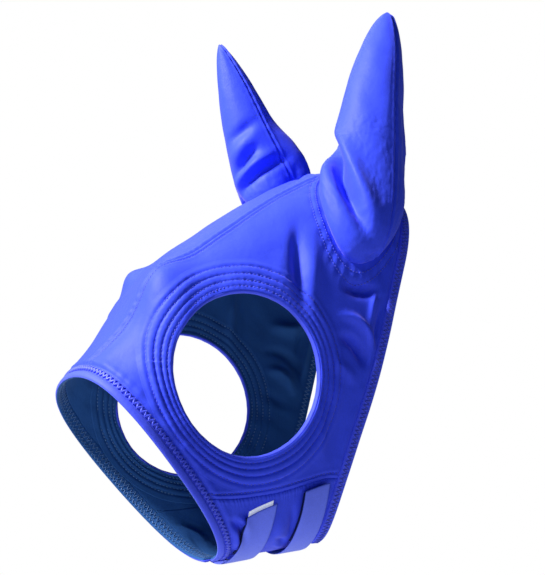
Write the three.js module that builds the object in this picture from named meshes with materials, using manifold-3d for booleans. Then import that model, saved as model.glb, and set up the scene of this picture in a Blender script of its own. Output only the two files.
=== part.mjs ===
// Horse fly mask: a stretch hood with padded eye openings, ear pockets and jaw straps.
// Millimetres. +Z is up, the horse faces -Y and its left side is +X.
// The origin is midway between the centres of the two eye openings.
import * as THREE from 'three';
import { mergeVertices } from 'three/addons/utils/BufferGeometryUtils.js';
import Module from 'manifold-3d';

const wasm = await Module();
wasm.setup();

// ---- driving dimensions ----
// The hood is one smooth surface. u runs from the nose edge (0) to the neck edge (1); phi runs round
// the head from the top midline (0) to the jaw midline (PI), negative on the right side.
const CROWN_U = [0, 0.15, 0.30, 0.45, 0.60, 0.75, 0.88, 1];
const CROWN_Y = [-124, -95, -68, -34, 9, 55, 104, 149];
const CROWN_Z = [-2, 40, 85, 118, 151, 182, 199, 185];
const JAW_U = [0, 0.5, 1];
const JAW_Y = [-3, 48, 92];
const JAW_Z = [-137, -128, -121];
const WIDTH_U = [0, 0.25, 0.5, 0.75, 1];
const HALF_WIDTH = [88, 84, 86, 82, 74];
const TOP_HEAVY = [0.16, 0.14, 0.12, 0.12, 0.14];
const LOW_CUTBACK = [0, 0, 2, 8, 14];
const HIGH_CUTBACK = [0, 0, 0, 10, 26];
const SQUARENESS = 0.04;
const BROW = { height: 15, u: 0.29, uWidth: 0.085, phi: 0.78, phiWidth: 0.36, x: 0.35, y: -0.55, z: 0.75 };

const LINING = [0, 0.8];
const CLOTH = [1.1, 2.1];
const PAD_RISE = 3;
const EYE_RADIUS_Y = 60.5;
const EYE_RADIUS_Z = 63.5;
const BINDING = 1.5;
const EYE_RING = 22;
const RING_NARROWING = 6;
const RING_NARROW_AT = THREE.MathUtils.degToRad(222);
const NOSE_HEM = 12;
const NECK_HEM = 9;
const HEM_SLIT = 0.965 * Math.PI;
const SEAM_GAP = 0.006;
const EDGE_GAP = 0.4;
const HEM_GAP = 0.9;

const FACE_SEAM_U = [0, 0.3, 0.6, 1];
const FACE_SEAM = [0.095, 0.182, 0.165, 0.11].map((f) => f * Math.PI);
const JAW_SEAM_U = [0, 0.2, 0.5, 1];
const JAW_SEAM = [0.61, 0.672, 0.71, 0.72].map((f) => f * Math.PI);

const EAR_BASE = { u: 0.865, phi: 0.27 * Math.PI, uRadius: 0.092, phiRadius: 0.125 * Math.PI };
const EAR_ROOT = [64, 106, 132];
const EAR_TIP = { left: [57, 144, 347], right: [-53, 20, 345] };
const EAR_JOIN_HEIGHT = 78;
const EAR_RADIUS = 32;
const EAR_DEPTH = 0.88;
const EAR_CLOTH = 1.2;
const EAR_SEAM = THREE.MathUtils.degToRad(15);
const EAR_SEAM_GAP = 0.015;

const STRAPS = {
  front: { y: [5, 30] },
  rear: { y: [53, 76] },
};
const STRAP_TAB = 0.725 * Math.PI;
const STRAP_SEWN = 1.12 * Math.PI;
const STRAP_END = 1.20 * Math.PI;
const STRAP_CLOTH = 1.2;

// ---- small maths ----
function spline(xs, ys) {
  const n = xs.length;
  const curve = new Array(n).fill(0);
  const upper = new Array(n).fill(0);
  for (let i = 1; i < n - 1; i++) {
    const ratio = (xs[i] - xs[i - 1]) / (xs[i + 1] - xs[i - 1]);
    const pivot = ratio * curve[i - 1] + 2;
    const bend = (ys[i + 1] - ys[i]) / (xs[i + 1] - xs[i]) - (ys[i] - ys[i - 1]) / (xs[i] - xs[i - 1]);
    curve[i] = (ratio - 1) / pivot;
    upper[i] = (6 * bend / (xs[i + 1] - xs[i - 1]) - ratio * upper[i - 1]) / pivot;
  }
  curve[n - 1] = 0;
  for (let i = n - 2; i >= 0; i--) curve[i] = curve[i] * curve[i + 1] + upper[i];
  return (x) => {
    let k = 0;
    while (k < n - 2 && x > xs[k + 1]) k++;
    const h = xs[k + 1] - xs[k];
    const a = (xs[k + 1] - x) / h;
    const b = (x - xs[k]) / h;
    return a * ys[k] + b * ys[k + 1] + ((a ** 3 - a) * curve[k] + (b ** 3 - b) * curve[k + 1]) * h * h / 6;
  };
}

const mix = (a, b, t) => a.map((value, i) => value + (b[i] - value) * t);
const steps = (count) => Array.from({ length: count + 1 }, (_, i) => i / count);

// ---- the hood surface ----
const crownY = spline(CROWN_U, CROWN_Y);
const crownZ = spline(CROWN_U, CROWN_Z);
const jawY = spline(JAW_U, JAW_Y);
const jawZ = spline(JAW_U, JAW_Z);
const halfWidth = spline(WIDTH_U, HALF_WIDTH);
const topHeavy = spline(WIDTH_U, TOP_HEAVY);
const lowCutback = spline(WIDTH_U, LOW_CUTBACK);
const highCutback = spline(WIDTH_U, HIGH_CUTBACK);
const faceSeam = spline(FACE_SEAM_U, FACE_SEAM);
const jawSeam = spline(JAW_SEAM_U, JAW_SEAM);

function surface(u, phi) {
  const across = Math.sin(phi) + SQUARENESS * Math.sin(3 * phi);
  const along = (Math.cos(phi) - SQUARENESS * Math.cos(3 * phi)) / (1 - SQUARENESS);
  const brow = BROW.height * Math.exp(-(((u - BROW.u) / BROW.uWidth) ** 2)
    - ((Math.abs(phi) - BROW.phi) / BROW.phiWidth) ** 2);
  const cut = Math.sin(phi) ** 2 / 1.5;
  const y = (crownY(u) + jawY(u)) / 2 + (crownY(u) - jawY(u)) / 2 * along
    + cut * (highCutback(u) * (1 + Math.cos(phi)) - lowCutback(u) * (1 - Math.cos(phi)));
  const z = (crownZ(u) + jawZ(u)) / 2 + (crownZ(u) - jawZ(u)) / 2 * along;
  const x = halfWidth(u) * across * (1 + topHeavy(u) * Math.cos(phi)) + brow * BROW.x * Math.sign(phi);
  return new THREE.Vector3(x, y + brow * BROW.y, z + brow * BROW.z);
}

function slopes(u, phi) {
  const e = 1e-4;
  const du = surface(u + e, phi).sub(surface(u - e, phi)).divideScalar(2 * e);
  const dphi = surface(u, phi + e).sub(surface(u, phi - e)).divideScalar(2 * e);
  return [du, dphi];
}

function hood([u, phi], lift) {
  const [du, dphi] = slopes(u, phi);
  return surface(u, phi).addScaledVector(dphi.cross(du).normalize(), lift);
}

// (u, phi) of the surface point on one side whose y and z are given
function findYZ(y, z, side) {
  let u = 0.45 + y / 300;
  let phi = 1.45 - z / 140;
  for (let i = 0; i < 12; i++) {
    const p = surface(u, phi);
    const [du, dphi] = slopes(u, phi);
    const det = du.y * dphi.z - dphi.y * du.z;
    u += ((y - p.y) * dphi.z - dphi.y * (z - p.z)) / det;
    phi += (du.y * (z - p.z) - (y - p.y) * du.z) / det;
  }
  return [u, side * phi];
}

// u at which the surface has this y, for a given phi
function findU(y, phi) {
  let u = 0.5;
  for (let i = 0; i < 12; i++) u += (y - surface(u, phi).y) / slopes(u, phi)[0].y;
  return u;
}

const noseU = (phi, width) => width / slopes(0, phi)[0].length();
const neckU = (phi, width) => 1 - width / slopes(1, phi)[0].length();

// ---- closed solids ----
function solid(points, triangles) {
  const geometry = new THREE.BufferGeometry();
  geometry.setAttribute('position', new THREE.Float32BufferAttribute(points.flatMap((p) => p.toArray()), 3));
  let volume = 0;
  for (const [a, b, c] of triangles) {
    volume += points[a].dot(points[b].clone().cross(points[c]));
  }
  const order = volume < 0 ? [0, 2, 1] : [0, 1, 2];
  geometry.setIndex(triangles.flatMap((t) => order.map((i) => t[i])));
  return geometry;
}

// A sheet with an inner and an outer face: both are grids of points with the same rows and columns.
function sheet(inner, outer, closed = false) {
  const rows = inner.length;
  const columns = inner[0].length;
  const points = [...inner.flat(), ...outer.flat()];
  const at = (face, i, j) => face * rows * columns + i * columns + (j % columns);
  const triangles = [];
  const quad = (a, b, c, d) => triangles.push([a, b, c], [a, c, d]);
  const spans = closed ? columns : columns - 1;
  for (let i = 0; i < rows - 1; i++) {
    for (let j = 0; j < spans; j++) {
      quad(at(1, i, j), at(1, i + 1, j), at(1, i + 1, j + 1), at(1, i, j + 1));
      quad(at(0, i, j), at(0, i, j + 1), at(0, i + 1, j + 1), at(0, i + 1, j));
    }
  }
  for (let j = 0; j < spans; j++) {
    quad(at(0, 0, j), at(1, 0, j), at(1, 0, j + 1), at(0, 0, j + 1));
    quad(at(0, rows - 1, j), at(0, rows - 1, j + 1), at(1, rows - 1, j + 1), at(1, rows - 1, j));
  }
  if (!closed) {
    for (let i = 0; i < rows - 1; i++) {
      quad(at(0, i, 0), at(0, i + 1, 0), at(1, i + 1, 0), at(1, i, 0));
      quad(at(0, i, columns - 1), at(1, i, columns - 1), at(1, i + 1, columns - 1), at(0, i + 1, columns - 1));
    }
  }
  return solid(points, triangles);
}

// A layer of the hood over a grid of (u, phi), between two lifts; rise lifts the outer rows further.
function layer(grid, [low, high], closed = false, rise = () => 0) {
  const face = (lift) => grid.map((row, i) => row.map((place) => hood(place, lift + rise(i))));
  return sheet(face(low), face(high), closed);
}

function manifold(geometry) {
  const bare = new THREE.BufferGeometry();
  bare.setAttribute('position', geometry.getAttribute('position'));
  bare.setIndex(geometry.getIndex());
  const merged = mergeVertices(bare, 1e-4);
  const index = merged.getIndex().array;
  const kept = [];
  for (let i = 0; i < index.length; i += 3) {
    const [a, b, c] = index.slice(i, i + 3);
    if (a !== b && b !== c && c !== a) kept.push(a, b, c);
  }
  return new wasm.Manifold(new wasm.Mesh({
    numProp: 3,
    vertProperties: merged.getAttribute('position').array,
    triVerts: new Uint32Array(kept),
  }));
}

function cut(geometry, cutter) {
  const mesh = manifold(geometry).subtract(manifold(cutter)).getMesh();
  const result = new THREE.BufferGeometry();
  result.setAttribute('position', new THREE.BufferAttribute(mesh.vertProperties, 3));
  result.setIndex(new THREE.BufferAttribute(mesh.triVerts, 1));
  return result;
}

// ---- boundaries of the panels ----
function corner(uOf, phiOf) {
  let u = 0.5;
  let phi = phiOf(u);
  for (let i = 0; i < 25; i++) {
    u = uOf(phi);
    phi = phiOf(u);
  }
  return [u, phi];
}

// A patch between the nose edge, the neck edge and two curves phi(u). Returns points in (u, phi).
function patchEdges(topOf, bottomOf) {
  const nose = (phi) => noseU(phi, NOSE_HEM + HEM_GAP);
  const neck = (phi) => neckU(phi, NECK_HEM + HEM_GAP);
  const corners = {
    noseTop: corner(nose, topOf),
    noseBottom: corner(nose, bottomOf),
    neckTop: corner(neck, topOf),
    neckBottom: corner(neck, bottomOf),
  };
  const alongPhi = (uOf, a, b) => (t) => {
    const phi = a[1] + (b[1] - a[1]) * t;
    return [uOf(phi), phi];
  };
  const alongU = (phiOf, a, b) => (t) => {
    const u = a[0] + (b[0] - a[0]) * t;
    return [u, phiOf(u)];
  };
  return {
    nose: alongPhi(nose, corners.noseTop, corners.noseBottom),
    neck: alongPhi(neck, corners.neckTop, corners.neckBottom),
    top: alongU(topOf, corners.noseTop, corners.neckTop),
    bottom: alongU(bottomOf, corners.noseBottom, corners.neckBottom),
  };
}

function patchGrid(topOf, bottomOf, rows, columns) {
  const edge = patchEdges(topOf, bottomOf);
  const blend = (s, t) => [0, 1].map((k) => {
    const sides = (1 - t) * edge.top(s)[k] + t * edge.bottom(s)[k];
    const ends = (1 - s) * edge.nose(t)[k] + s * edge.neck(t)[k];
    const corners = (1 - s) * ((1 - t) * edge.nose(0)[k] + t * edge.nose(1)[k])
      + s * ((1 - t) * edge.neck(0)[k] + t * edge.neck(1)[k]);
    return sides + ends - corners;
  });
  return steps(rows).map((s) => steps(columns).map((t) => blend(s, t)));
}

// ---- panels round the eye ----
// The padded ring is narrower where it runs close to the nose hem.
const RING_START = BINDING + EDGE_GAP;
const RING_ROWS = [0, 0.5, 1];
const ringWidth = (angle) => EYE_RING - RING_NARROWING * Math.max(Math.cos(angle - RING_NARROW_AT), 0) ** 2;
const ringOut = (angle, s) => RING_START + (ringWidth(angle) - RING_START) * s;
const eyePoint = (angle, out, side) => findYZ(
  (EYE_RADIUS_Y + out) * Math.cos(angle), (EYE_RADIUS_Z + out) * Math.sin(angle), side);

// The outline of a cheek panel, and the angle round the eye at which each of its points lies
function cheekRim(side) {
  const edge = patchEdges((u) => side * (faceSeam(u) + SEAM_GAP), (u) => side * (jawSeam(u) - SEAM_GAP));
  const rim = [
    ...steps(10).slice(0, -1).map((t) => edge.top(t)),
    ...steps(8).slice(0, -1).map((t) => edge.neck(t)),
    ...steps(10).slice(0, -1).map((t) => edge.bottom(1 - t)),
    ...steps(8).slice(0, -1).map((t) => edge.nose(1 - t)),
  ];
  const angles = rim.map(([u, phi]) => {
    const p = surface(u, phi);
    return Math.atan2(p.z / EYE_RADIUS_Z, p.y / EYE_RADIUS_Y);
  });
  return { rim, angles };
}

function cheekGrid(side) {
  const { rim, angles } = cheekRim(side);
  const rings = RING_ROWS.map((s) => angles.map((angle) => eyePoint(angle, ringOut(angle, s), side)));
  const last = rings[rings.length - 1];
  const outer = steps(4).slice(1).map((t) => rim.map((place, j) => mix(last[j], place, t)));
  return [...rings, ...outer];
}

const ringRise = (i) => (i < RING_ROWS.length ? PAD_RISE : 0);

function eyePad(side) {
  const grid = cheekGrid(side).slice(0, RING_ROWS.length);
  const top = CLOTH[0] + PAD_RISE - 0.3;
  return layer(grid, [CLOTH[0], top], true);
}

// The points of a closed section, each carried round the eye opening
function eyeBinding(side) {
  const low = LINING[0];
  const high = CLOTH[1] + PAD_RISE;
  const section = [[0, low], [BINDING, low], [BINDING, high], [BINDING / 2, high + 0.7], [0, high]];
  const { angles } = cheekRim(side);
  const rows = section.map(([out, lift]) => angles.map((angle) => hood(eyePoint(angle, out, side), lift)));
  const at = (i, j) => (i % rows.length) * angles.length + (j % angles.length);
  const triangles = [];
  rows.forEach((row, i) => row.forEach((point, j) => {
    triangles.push([at(i, j), at(i + 1, j), at(i + 1, j + 1)], [at(i, j), at(i + 1, j + 1), at(i, j + 1)]);
  }));
  return solid(rows.flat(), triangles);
}

// ---- ears ----
function earOval(scale, side, angle) {
  return [EAR_BASE.u + EAR_BASE.uRadius * scale * Math.cos(angle),
    side * (EAR_BASE.phi + EAR_BASE.phiRadius * scale * Math.sin(angle))];
}

// A plug through the hood cloth that leaves the opening for the horse's ear
function earCutter(side) {
  const depths = [-4, 8];
  const oval = steps(24).slice(0, -1).map((t) => earOval(0.94, side, t * 2 * Math.PI));
  const count = oval.length;
  const rings = depths.map((lift) => oval.map((place) => hood(place, lift)));
  const centres = depths.map((lift) => hood([EAR_BASE.u, side * EAR_BASE.phi], lift));
  const triangles = [];
  for (let j = 0; j < count; j++) {
    const n = (j + 1) % count;
    triangles.push([j, n, count + n], [j, count + n, count + j]);
    triangles.push([2 * count, n, j], [2 * count + 1, count + j, count + n]);
  }
  return solid([...rings.flat(), ...centres], triangles);
}

function earFrame(side) {
  const root = new THREE.Vector3(side * EAR_ROOT[0], EAR_ROOT[1], EAR_ROOT[2]);
  const tip = new THREE.Vector3(...(side > 0 ? EAR_TIP.left : EAR_TIP.right));
  const axis = tip.clone().sub(root);
  const length = axis.length();
  axis.normalize();
  const across = new THREE.Vector3(0, 1, 0).cross(axis).normalize();
  const back = axis.clone().cross(across);
  return { root, axis, length, across, back };
}

function earPoint(frame, height, radius, angle) {
  return frame.root.clone().addScaledVector(frame.axis, height)
    .addScaledVector(frame.across, radius * EAR_DEPTH * Math.cos(angle))
    .addScaledVector(frame.back, radius * Math.sin(angle));
}

const earRadius = (s) => EAR_RADIUS * Math.max(1 - s ** 1.6, 0.012) ** 0.65;

// Half of the pocket from the collar to the tip, between two angles round the ear
function earHalf(side, from, to) {
  const frame = earFrame(side);
  const start = EAR_JOIN_HEIGHT + 0.5;
  const angles = steps(8).map((t) => from + (to - from) * t);
  const heights = [0, 0.2, 0.4, 0.58, 0.73, 0.85, 0.94, 1];
  const face = (thin) => heights.map((s) => angles.map((angle) => {
    const radius = Math.max(earRadius(s) - thin, 0.3);
    return earPoint(frame, start + (frame.length - start - thin) * s, radius, angle);
  }));
  return sheet(face(EAR_CLOTH), face(0));
}

function earCollar(side) {
  const frame = earFrame(side);
  const turns = steps(28).slice(0, -1).map((t) => t * 2 * Math.PI);
  const base = (scale) => turns.map((angle) => hood(earOval(scale, side, angle), CLOTH[1] + 0.4));
  const bearings = base(1).map((p) => {
    const out = p.clone().sub(frame.root);
    return Math.atan2(out.dot(frame.back), out.dot(frame.across) / EAR_DEPTH);
  });
  const ring = (radius) => bearings.map((angle) => earPoint(frame, EAR_JOIN_HEIGHT, radius, angle));
  const loft = (low, high) => steps(4).map((t) => low.map((p, j) => p.clone().lerp(high[j], t)));
  return sheet(loft(base(0.965), ring(EAR_RADIUS - EAR_CLOTH)), loft(base(1), ring(EAR_RADIUS)), true);
}

// ---- jaw straps ----
function strapGrid([y0, y1], from, to, rows) {
  return steps(rows).map((t) => [0, 0.5, 1].map((s) => {
    const phi = from + (to - from) * t;
    return [findU(y0 + (y1 - y0) * s, phi), phi];
  }));
}

const STRAP_LIFT = CLOTH[1] + 3.1;
const SEWN_LIFT = CLOTH[1] + 0.4;
const strapRise = (rows) => (i) => (SEWN_LIFT - STRAP_LIFT) * Math.max(1 - (i / rows) / 0.45, 0);

const strapCloth = (y) => layer(strapGrid(y, STRAP_SEWN - 0.004, STRAP_TAB, 12),
  [STRAP_LIFT, STRAP_LIFT + STRAP_CLOTH], false, strapRise(12));
const strapAnchor = (y) => layer(strapGrid(y, STRAP_SEWN + 0.004, STRAP_END, 3),
  [SEWN_LIFT, SEWN_LIFT + STRAP_CLOTH]);
const hookPad = ([y0, y1]) => layer(strapGrid([y0 + 1, y1 - 1], STRAP_TAB + 0.02, STRAP_TAB + 0.3, 3),
  [CLOTH[1] + 1.8, STRAP_LIFT - 0.3]);
const loopPatch = ([y0, y1]) => layer(strapGrid([y0 - 1, y1 + 1], STRAP_TAB - 0.03, STRAP_TAB + 0.5, 5),
  [CLOTH[1] + 0.4, CLOTH[1] + 1.4]);

// ---- hems ----
const HEM_STEPS = 40;
function hemGrid(uNear, uFar) {
  return steps(HEM_STEPS).map((t) => {
    const phi = HEM_SLIT * (2 * t - 1);
    return [[uNear(phi), phi], [uFar(phi), phi]];
  });
}
const noseHemGrid = hemGrid(() => 0, (phi) => noseU(phi, NOSE_HEM));
const neckHemGrid = hemGrid((phi) => neckU(phi, NECK_HEM), () => 1);

// ---- assembly ----
const group = new THREE.Group();
const BLUE = { color: 0x4e63ff, roughness: 0.55, metalness: 0 };
const NAVY = { color: 0x15296c, roughness: 0.8, metalness: 0 };
const PALE = { color: 0x6070ff, roughness: 0.6, metalness: 0 };
const FOAM = { color: 0x2d3350, roughness: 0.9, metalness: 0 };
const WHITE = { color: 0xf0f2f6, roughness: 0.7, metalness: 0 };

function add(name, geometry, look) {
  geometry.computeVertexNormals();
  const mesh = new THREE.Mesh(geometry, new THREE.MeshStandardMaterial(look));
  mesh.name = name;
  group.add(mesh);
}

const earHoles = [earCutter(1), earCutter(-1)];
const faceGrid = patchGrid((u) => faceSeam(u) - SEAM_GAP, (u) => SEAM_GAP - faceSeam(u), 18, 8);
const openForEars = (geometry) => cut(cut(geometry, earHoles[0]), earHoles[1]);
add('face_panel', openForEars(layer(faceGrid, CLOTH)), BLUE);
add('face_lining', openForEars(layer(faceGrid, LINING)), NAVY);
add('nose_hem', layer(noseHemGrid, CLOTH), BLUE);
add('nose_elastic', layer(noseHemGrid, LINING), NAVY);
add('neck_hem', layer(neckHemGrid, CLOTH), BLUE);
add('neck_elastic', layer(neckHemGrid, LINING), NAVY);

for (const [name, side] of [['left', 1], ['right', -1]]) {
  const cheek = cheekGrid(side);
  const jaw = patchGrid((u) => side * (jawSeam(u) + SEAM_GAP), () => side * HEM_SLIT, 12, 5);
  const earHole = side > 0 ? earHoles[0] : earHoles[1];
  add(`${name}_cheek_panel`, cut(layer(cheek, CLOTH, true, ringRise), earHole), BLUE);
  add(`${name}_cheek_lining`, cut(layer(cheek, LINING, true), earHole), NAVY);
  add(`${name}_jaw_panel`, layer(jaw, CLOTH), BLUE);
  add(`${name}_jaw_lining`, layer(jaw, LINING), NAVY);
  add(`${name}_eye_pad`, eyePad(side), FOAM);
  add(`${name}_eye_binding`, eyeBinding(side), BLUE);
  add(`${name}_ear_collar`, earCollar(side), BLUE);
  add(`${name}_ear_front`, earHalf(side, Math.PI - EAR_SEAM + EAR_SEAM_GAP,
    2 * Math.PI + EAR_SEAM - EAR_SEAM_GAP), BLUE);
  add(`${name}_ear_back`, earHalf(side, EAR_SEAM + EAR_SEAM_GAP, Math.PI - EAR_SEAM - EAR_SEAM_GAP), BLUE);
}

for (const [name, strap] of Object.entries(STRAPS)) {
  add(`${name}_strap`, strapCloth(strap.y), PALE);
  add(`${name}_hook_pad`, hookPad(strap.y), NAVY);
  add(`${name}_strap_anchor`, strapAnchor(strap.y), PALE);
  add(`${name}_loop_patch`, loopPatch(strap.y), NAVY);
}
add('label', layer(strapGrid([6, 29], STRAP_TAB - 0.06, STRAP_TAB - 0.034, 1), [SEWN_LIFT, SEWN_LIFT + 0.8]), WHITE);

export default group;
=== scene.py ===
"""Looks of a horse fly mask: a stretch hood with quilted eye openings, ear pockets and jaw straps.

The hood is one smooth surface, given by u from the nose edge (0) to the neck edge (1) and phi round
the head from the top midline (0) to the jaw midline (pi), negative on the right. Lengths inside the
script are millimetres in the part's frame; mesh() turns them into metres.
"""
import math

import bpy
import numpy as np
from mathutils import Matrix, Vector


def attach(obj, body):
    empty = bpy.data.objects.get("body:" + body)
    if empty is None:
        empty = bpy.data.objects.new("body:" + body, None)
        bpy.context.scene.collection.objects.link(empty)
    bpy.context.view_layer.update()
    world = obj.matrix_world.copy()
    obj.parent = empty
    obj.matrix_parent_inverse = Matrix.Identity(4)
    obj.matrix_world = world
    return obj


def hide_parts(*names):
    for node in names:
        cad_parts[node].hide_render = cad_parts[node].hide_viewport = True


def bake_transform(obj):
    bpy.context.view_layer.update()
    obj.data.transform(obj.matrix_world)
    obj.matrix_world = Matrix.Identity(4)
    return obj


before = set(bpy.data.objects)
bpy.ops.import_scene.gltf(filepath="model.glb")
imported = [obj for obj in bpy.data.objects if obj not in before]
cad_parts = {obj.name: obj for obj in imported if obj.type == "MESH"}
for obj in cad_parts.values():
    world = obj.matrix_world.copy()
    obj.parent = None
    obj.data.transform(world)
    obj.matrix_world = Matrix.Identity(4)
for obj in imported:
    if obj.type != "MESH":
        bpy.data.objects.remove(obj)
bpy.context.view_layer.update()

# ---- the hood's dimensions, as in the CAD ----
CROWN_U = [0, 0.15, 0.30, 0.45, 0.60, 0.75, 0.88, 1]
CROWN_Y = [-124, -95, -68, -34, 9, 55, 104, 149]
CROWN_Z = [-2, 40, 85, 118, 151, 182, 199, 185]
JAW_U = [0, 0.5, 1]
JAW_Y = [-3, 48, 92]
JAW_Z = [-137, -128, -121]
WIDTH_U = [0, 0.25, 0.5, 0.75, 1]
HALF_WIDTH = [88, 84, 86, 82, 74]
TOP_HEAVY = [0.16, 0.14, 0.12, 0.12, 0.14]
LOW_CUTBACK = [0, 0, 2, 8, 14]
HIGH_CUTBACK = [0, 0, 0, 10, 26]
SQUARENESS = 0.04
BROW_HEIGHT, BROW_U, BROW_U_WIDTH, BROW_PHI, BROW_PHI_WIDTH = 15, 0.29, 0.085, 0.78, 0.36
BROW_DIRECTION = np.array([0.35, -0.55, 0.75])
CLOTH_LOW, CLOTH_HIGH = 1.0, 2.1
EYE_Y, EYE_Z = 60.5, 63.5
RING_WIDTH, RING_NARROWING, RING_NARROW_AT = 22.0, 6.0, math.radians(222)
NOSE_HEM, NECK_HEM = 12.0, 9.0
HEM_SLIT = 0.965 * math.pi
FACE_SEAM_U, FACE_SEAM = [0, 0.3, 0.6, 1], [0.095, 0.182, 0.165, 0.11]
JAW_SEAM_U, JAW_SEAM = [0, 0.2, 0.5, 1], [0.61, 0.672, 0.71, 0.72]
EAR_U, EAR_PHI, EAR_U_RADIUS, EAR_PHI_RADIUS = 0.865, 0.27 * math.pi, 0.092, 0.125 * math.pi
EAR_ROOT = {"left": (64, 106, 132), "right": (-64, 106, 132)}
EAR_TIP = {"left": (57, 144, 347), "right": (-53, 20, 345)}
EAR_JOIN, EAR_RADIUS, EAR_DEPTH, EAR_CLOTH = 78.0, 32.0, 0.88, 1.2
STRAP_Y = {"front": (5.0, 30.0), "rear": (53.0, 76.0)}
STRAP_TAB, STRAP_SEWN, STRAP_END = 0.725 * math.pi, 1.12 * math.pi, 1.20 * math.pi
STRAP_LIFT, SEWN_LIFT, STRAP_CLOTH = 5.2, 2.5, 1.2
SIDES = {"left": 1, "right": -1}

# ---- what the looks add to the CAD ----
# The neck edge is drawn in a little on each side.
NECK_TUCK, NECK_TUCK_AT = 6.0, 1.29
# The ring's stitch rows from the eye opening, the height of its puffs and of the grooves between them
RING_ROWS = np.array([4.2, 9.2, 15.0, 21.7])
RING_CREST, RING_FLOORS, RING_EDGE = 2.7, (1.6, 1.25, 0.95, 0.6, 0.1), 1.0
# Stitch rows from the seams and from the ears' ovals, whose mean radius is EAR_OVAL
FACE_ROW, JAW_ROW = 5.2, 4.2
EAR_ROWS, EAR_OVAL = (2.6, 6.4), 26
STITCH = {"length": 2.9, "radius": 0.48, "gap": 0.42}
UNDER_CLOTH, LINING_LIFT = CLOTH_LOW - 0.05, 0.85
FAR = 99.0  # the distance given to points past the ring
FINE = 1.0


# ---- the hood surface ----
def spline(xs, ys):
    """A natural cubic spline through the points, as a function of an array."""
    xs, ys = np.asarray(xs, float), np.asarray(ys, float)
    h = np.diff(xs)
    n = len(xs)
    matrix, bend = np.eye(n), np.zeros(n)
    for i in range(1, n - 1):
        matrix[i, i - 1:i + 2] = h[i - 1], 2 * (h[i - 1] + h[i]), h[i]
        bend[i] = 6 * ((ys[i + 1] - ys[i]) / h[i] - (ys[i] - ys[i - 1]) / h[i - 1])
    curve = np.linalg.solve(matrix, bend)

    def value(x):
        x = np.asarray(x, float)
        k = np.clip(np.searchsorted(xs, x, side="right") - 1, 0, n - 2)
        a, b = (xs[k + 1] - x) / h[k], (x - xs[k]) / h[k]
        cubic = (a**3 - a) * curve[k] + (b**3 - b) * curve[k + 1]
        return a * ys[k] + b * ys[k + 1] + cubic * h[k] ** 2 / 6

    return value


crown_y, crown_z = spline(CROWN_U, CROWN_Y), spline(CROWN_U, CROWN_Z)
jaw_y, jaw_z = spline(JAW_U, JAW_Y), spline(JAW_U, JAW_Z)
half_width, top_heavy = spline(WIDTH_U, HALF_WIDTH), spline(WIDTH_U, TOP_HEAVY)
low_cutback, high_cutback = spline(WIDTH_U, LOW_CUTBACK), spline(WIDTH_U, HIGH_CUTBACK)
face_seam = spline(FACE_SEAM_U, np.array(FACE_SEAM) * math.pi)
jaw_seam = spline(JAW_SEAM_U, np.array(JAW_SEAM) * math.pi)


def surface(u, phi):
    """Points of the smooth hood."""
    u, phi = np.broadcast_arrays(np.asarray(u, float), np.asarray(phi, float))
    across = np.sin(phi) + SQUARENESS * np.sin(3 * phi)
    along = (np.cos(phi) - SQUARENESS * np.cos(3 * phi)) / (1 - SQUARENESS)
    brow = BROW_HEIGHT * np.exp(
        -(((u - BROW_U) / BROW_U_WIDTH) ** 2) - ((np.abs(phi) - BROW_PHI) / BROW_PHI_WIDTH) ** 2)
    ty, by, tz, bz = crown_y(u), jaw_y(u), crown_z(u), jaw_z(u)
    cut = np.sin(phi) ** 2 / 1.5
    y = (ty + by) / 2 + (ty - by) / 2 * along
    y = y + cut * (high_cutback(u) * (1 + np.cos(phi)) - low_cutback(u) * (1 - np.cos(phi)))
    z = (tz + bz) / 2 + (tz - bz) / 2 * along
    y = y - NECK_TUCK * np.exp(-(((np.abs(phi) - NECK_TUCK_AT) / 0.35) ** 2)) * np.clip(u, 0, 1) ** 5
    x = half_width(u) * across * (1 + top_heavy(u) * np.cos(phi))
    mirror = np.stack([np.sign(phi), np.ones_like(phi), np.ones_like(phi)], -1)
    return np.stack([x, y, z], -1) + brow[..., None] * BROW_DIRECTION * mirror


def slopes(u, phi, e=1e-4):
    du = (surface(u + e, phi) - surface(u - e, phi)) / (2 * e)
    dphi = (surface(u, phi + e) - surface(u, phi - e)) / (2 * e)
    return du, dphi


def unit(v):
    return v / np.maximum(np.linalg.norm(v, axis=-1, keepdims=True), 1e-12)


def normals(u, phi):
    du, dphi = slopes(u, phi)
    return unit(np.cross(dphi, du))


def bare(u, phi, lift=0.0):
    """Points at a lift above the smooth surface."""
    u, phi, lift = np.broadcast_arrays(*(np.asarray(a, float) for a in (u, phi, lift)))
    return surface(u, phi) + normals(u, phi) * lift[..., None]


def find_yz(y, z, side):
    """The (u, phi) at which the hood has this y and z, by Newton's method."""
    y, z = np.broadcast_arrays(np.asarray(y, float), np.asarray(z, float))
    u, phi = 0.45 + y / 300, 1.45 - z / 140
    for _ in range(12):
        p = surface(u, phi)
        du, dphi = slopes(u, phi)
        det = du[..., 1] * dphi[..., 2] - dphi[..., 1] * du[..., 2]
        ry, rz = y - p[..., 1], z - p[..., 2]
        u = u + (ry * dphi[..., 2] - dphi[..., 1] * rz) / det
        phi = phi + (du[..., 1] * rz - ry * du[..., 2]) / det
    return u, side * phi


def find_u(y, phi):
    """The u at which the hood has this y, for a given phi."""
    u = np.full(np.broadcast(y, phi).shape, 0.5)
    for _ in range(12):
        u = u + (y - surface(u, phi)[..., 1]) / slopes(u, phi)[0][..., 1]
    return u


def nose_u(phi, width):
    """The u at a distance from the nose edge."""
    return width / np.linalg.norm(slopes(0 * phi, phi)[0], axis=-1)


def neck_u(phi, width):
    """The u at a distance from the neck edge."""
    return 1 - width / np.linalg.norm(slopes(0 * phi + 1, phi)[0], axis=-1)


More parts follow.
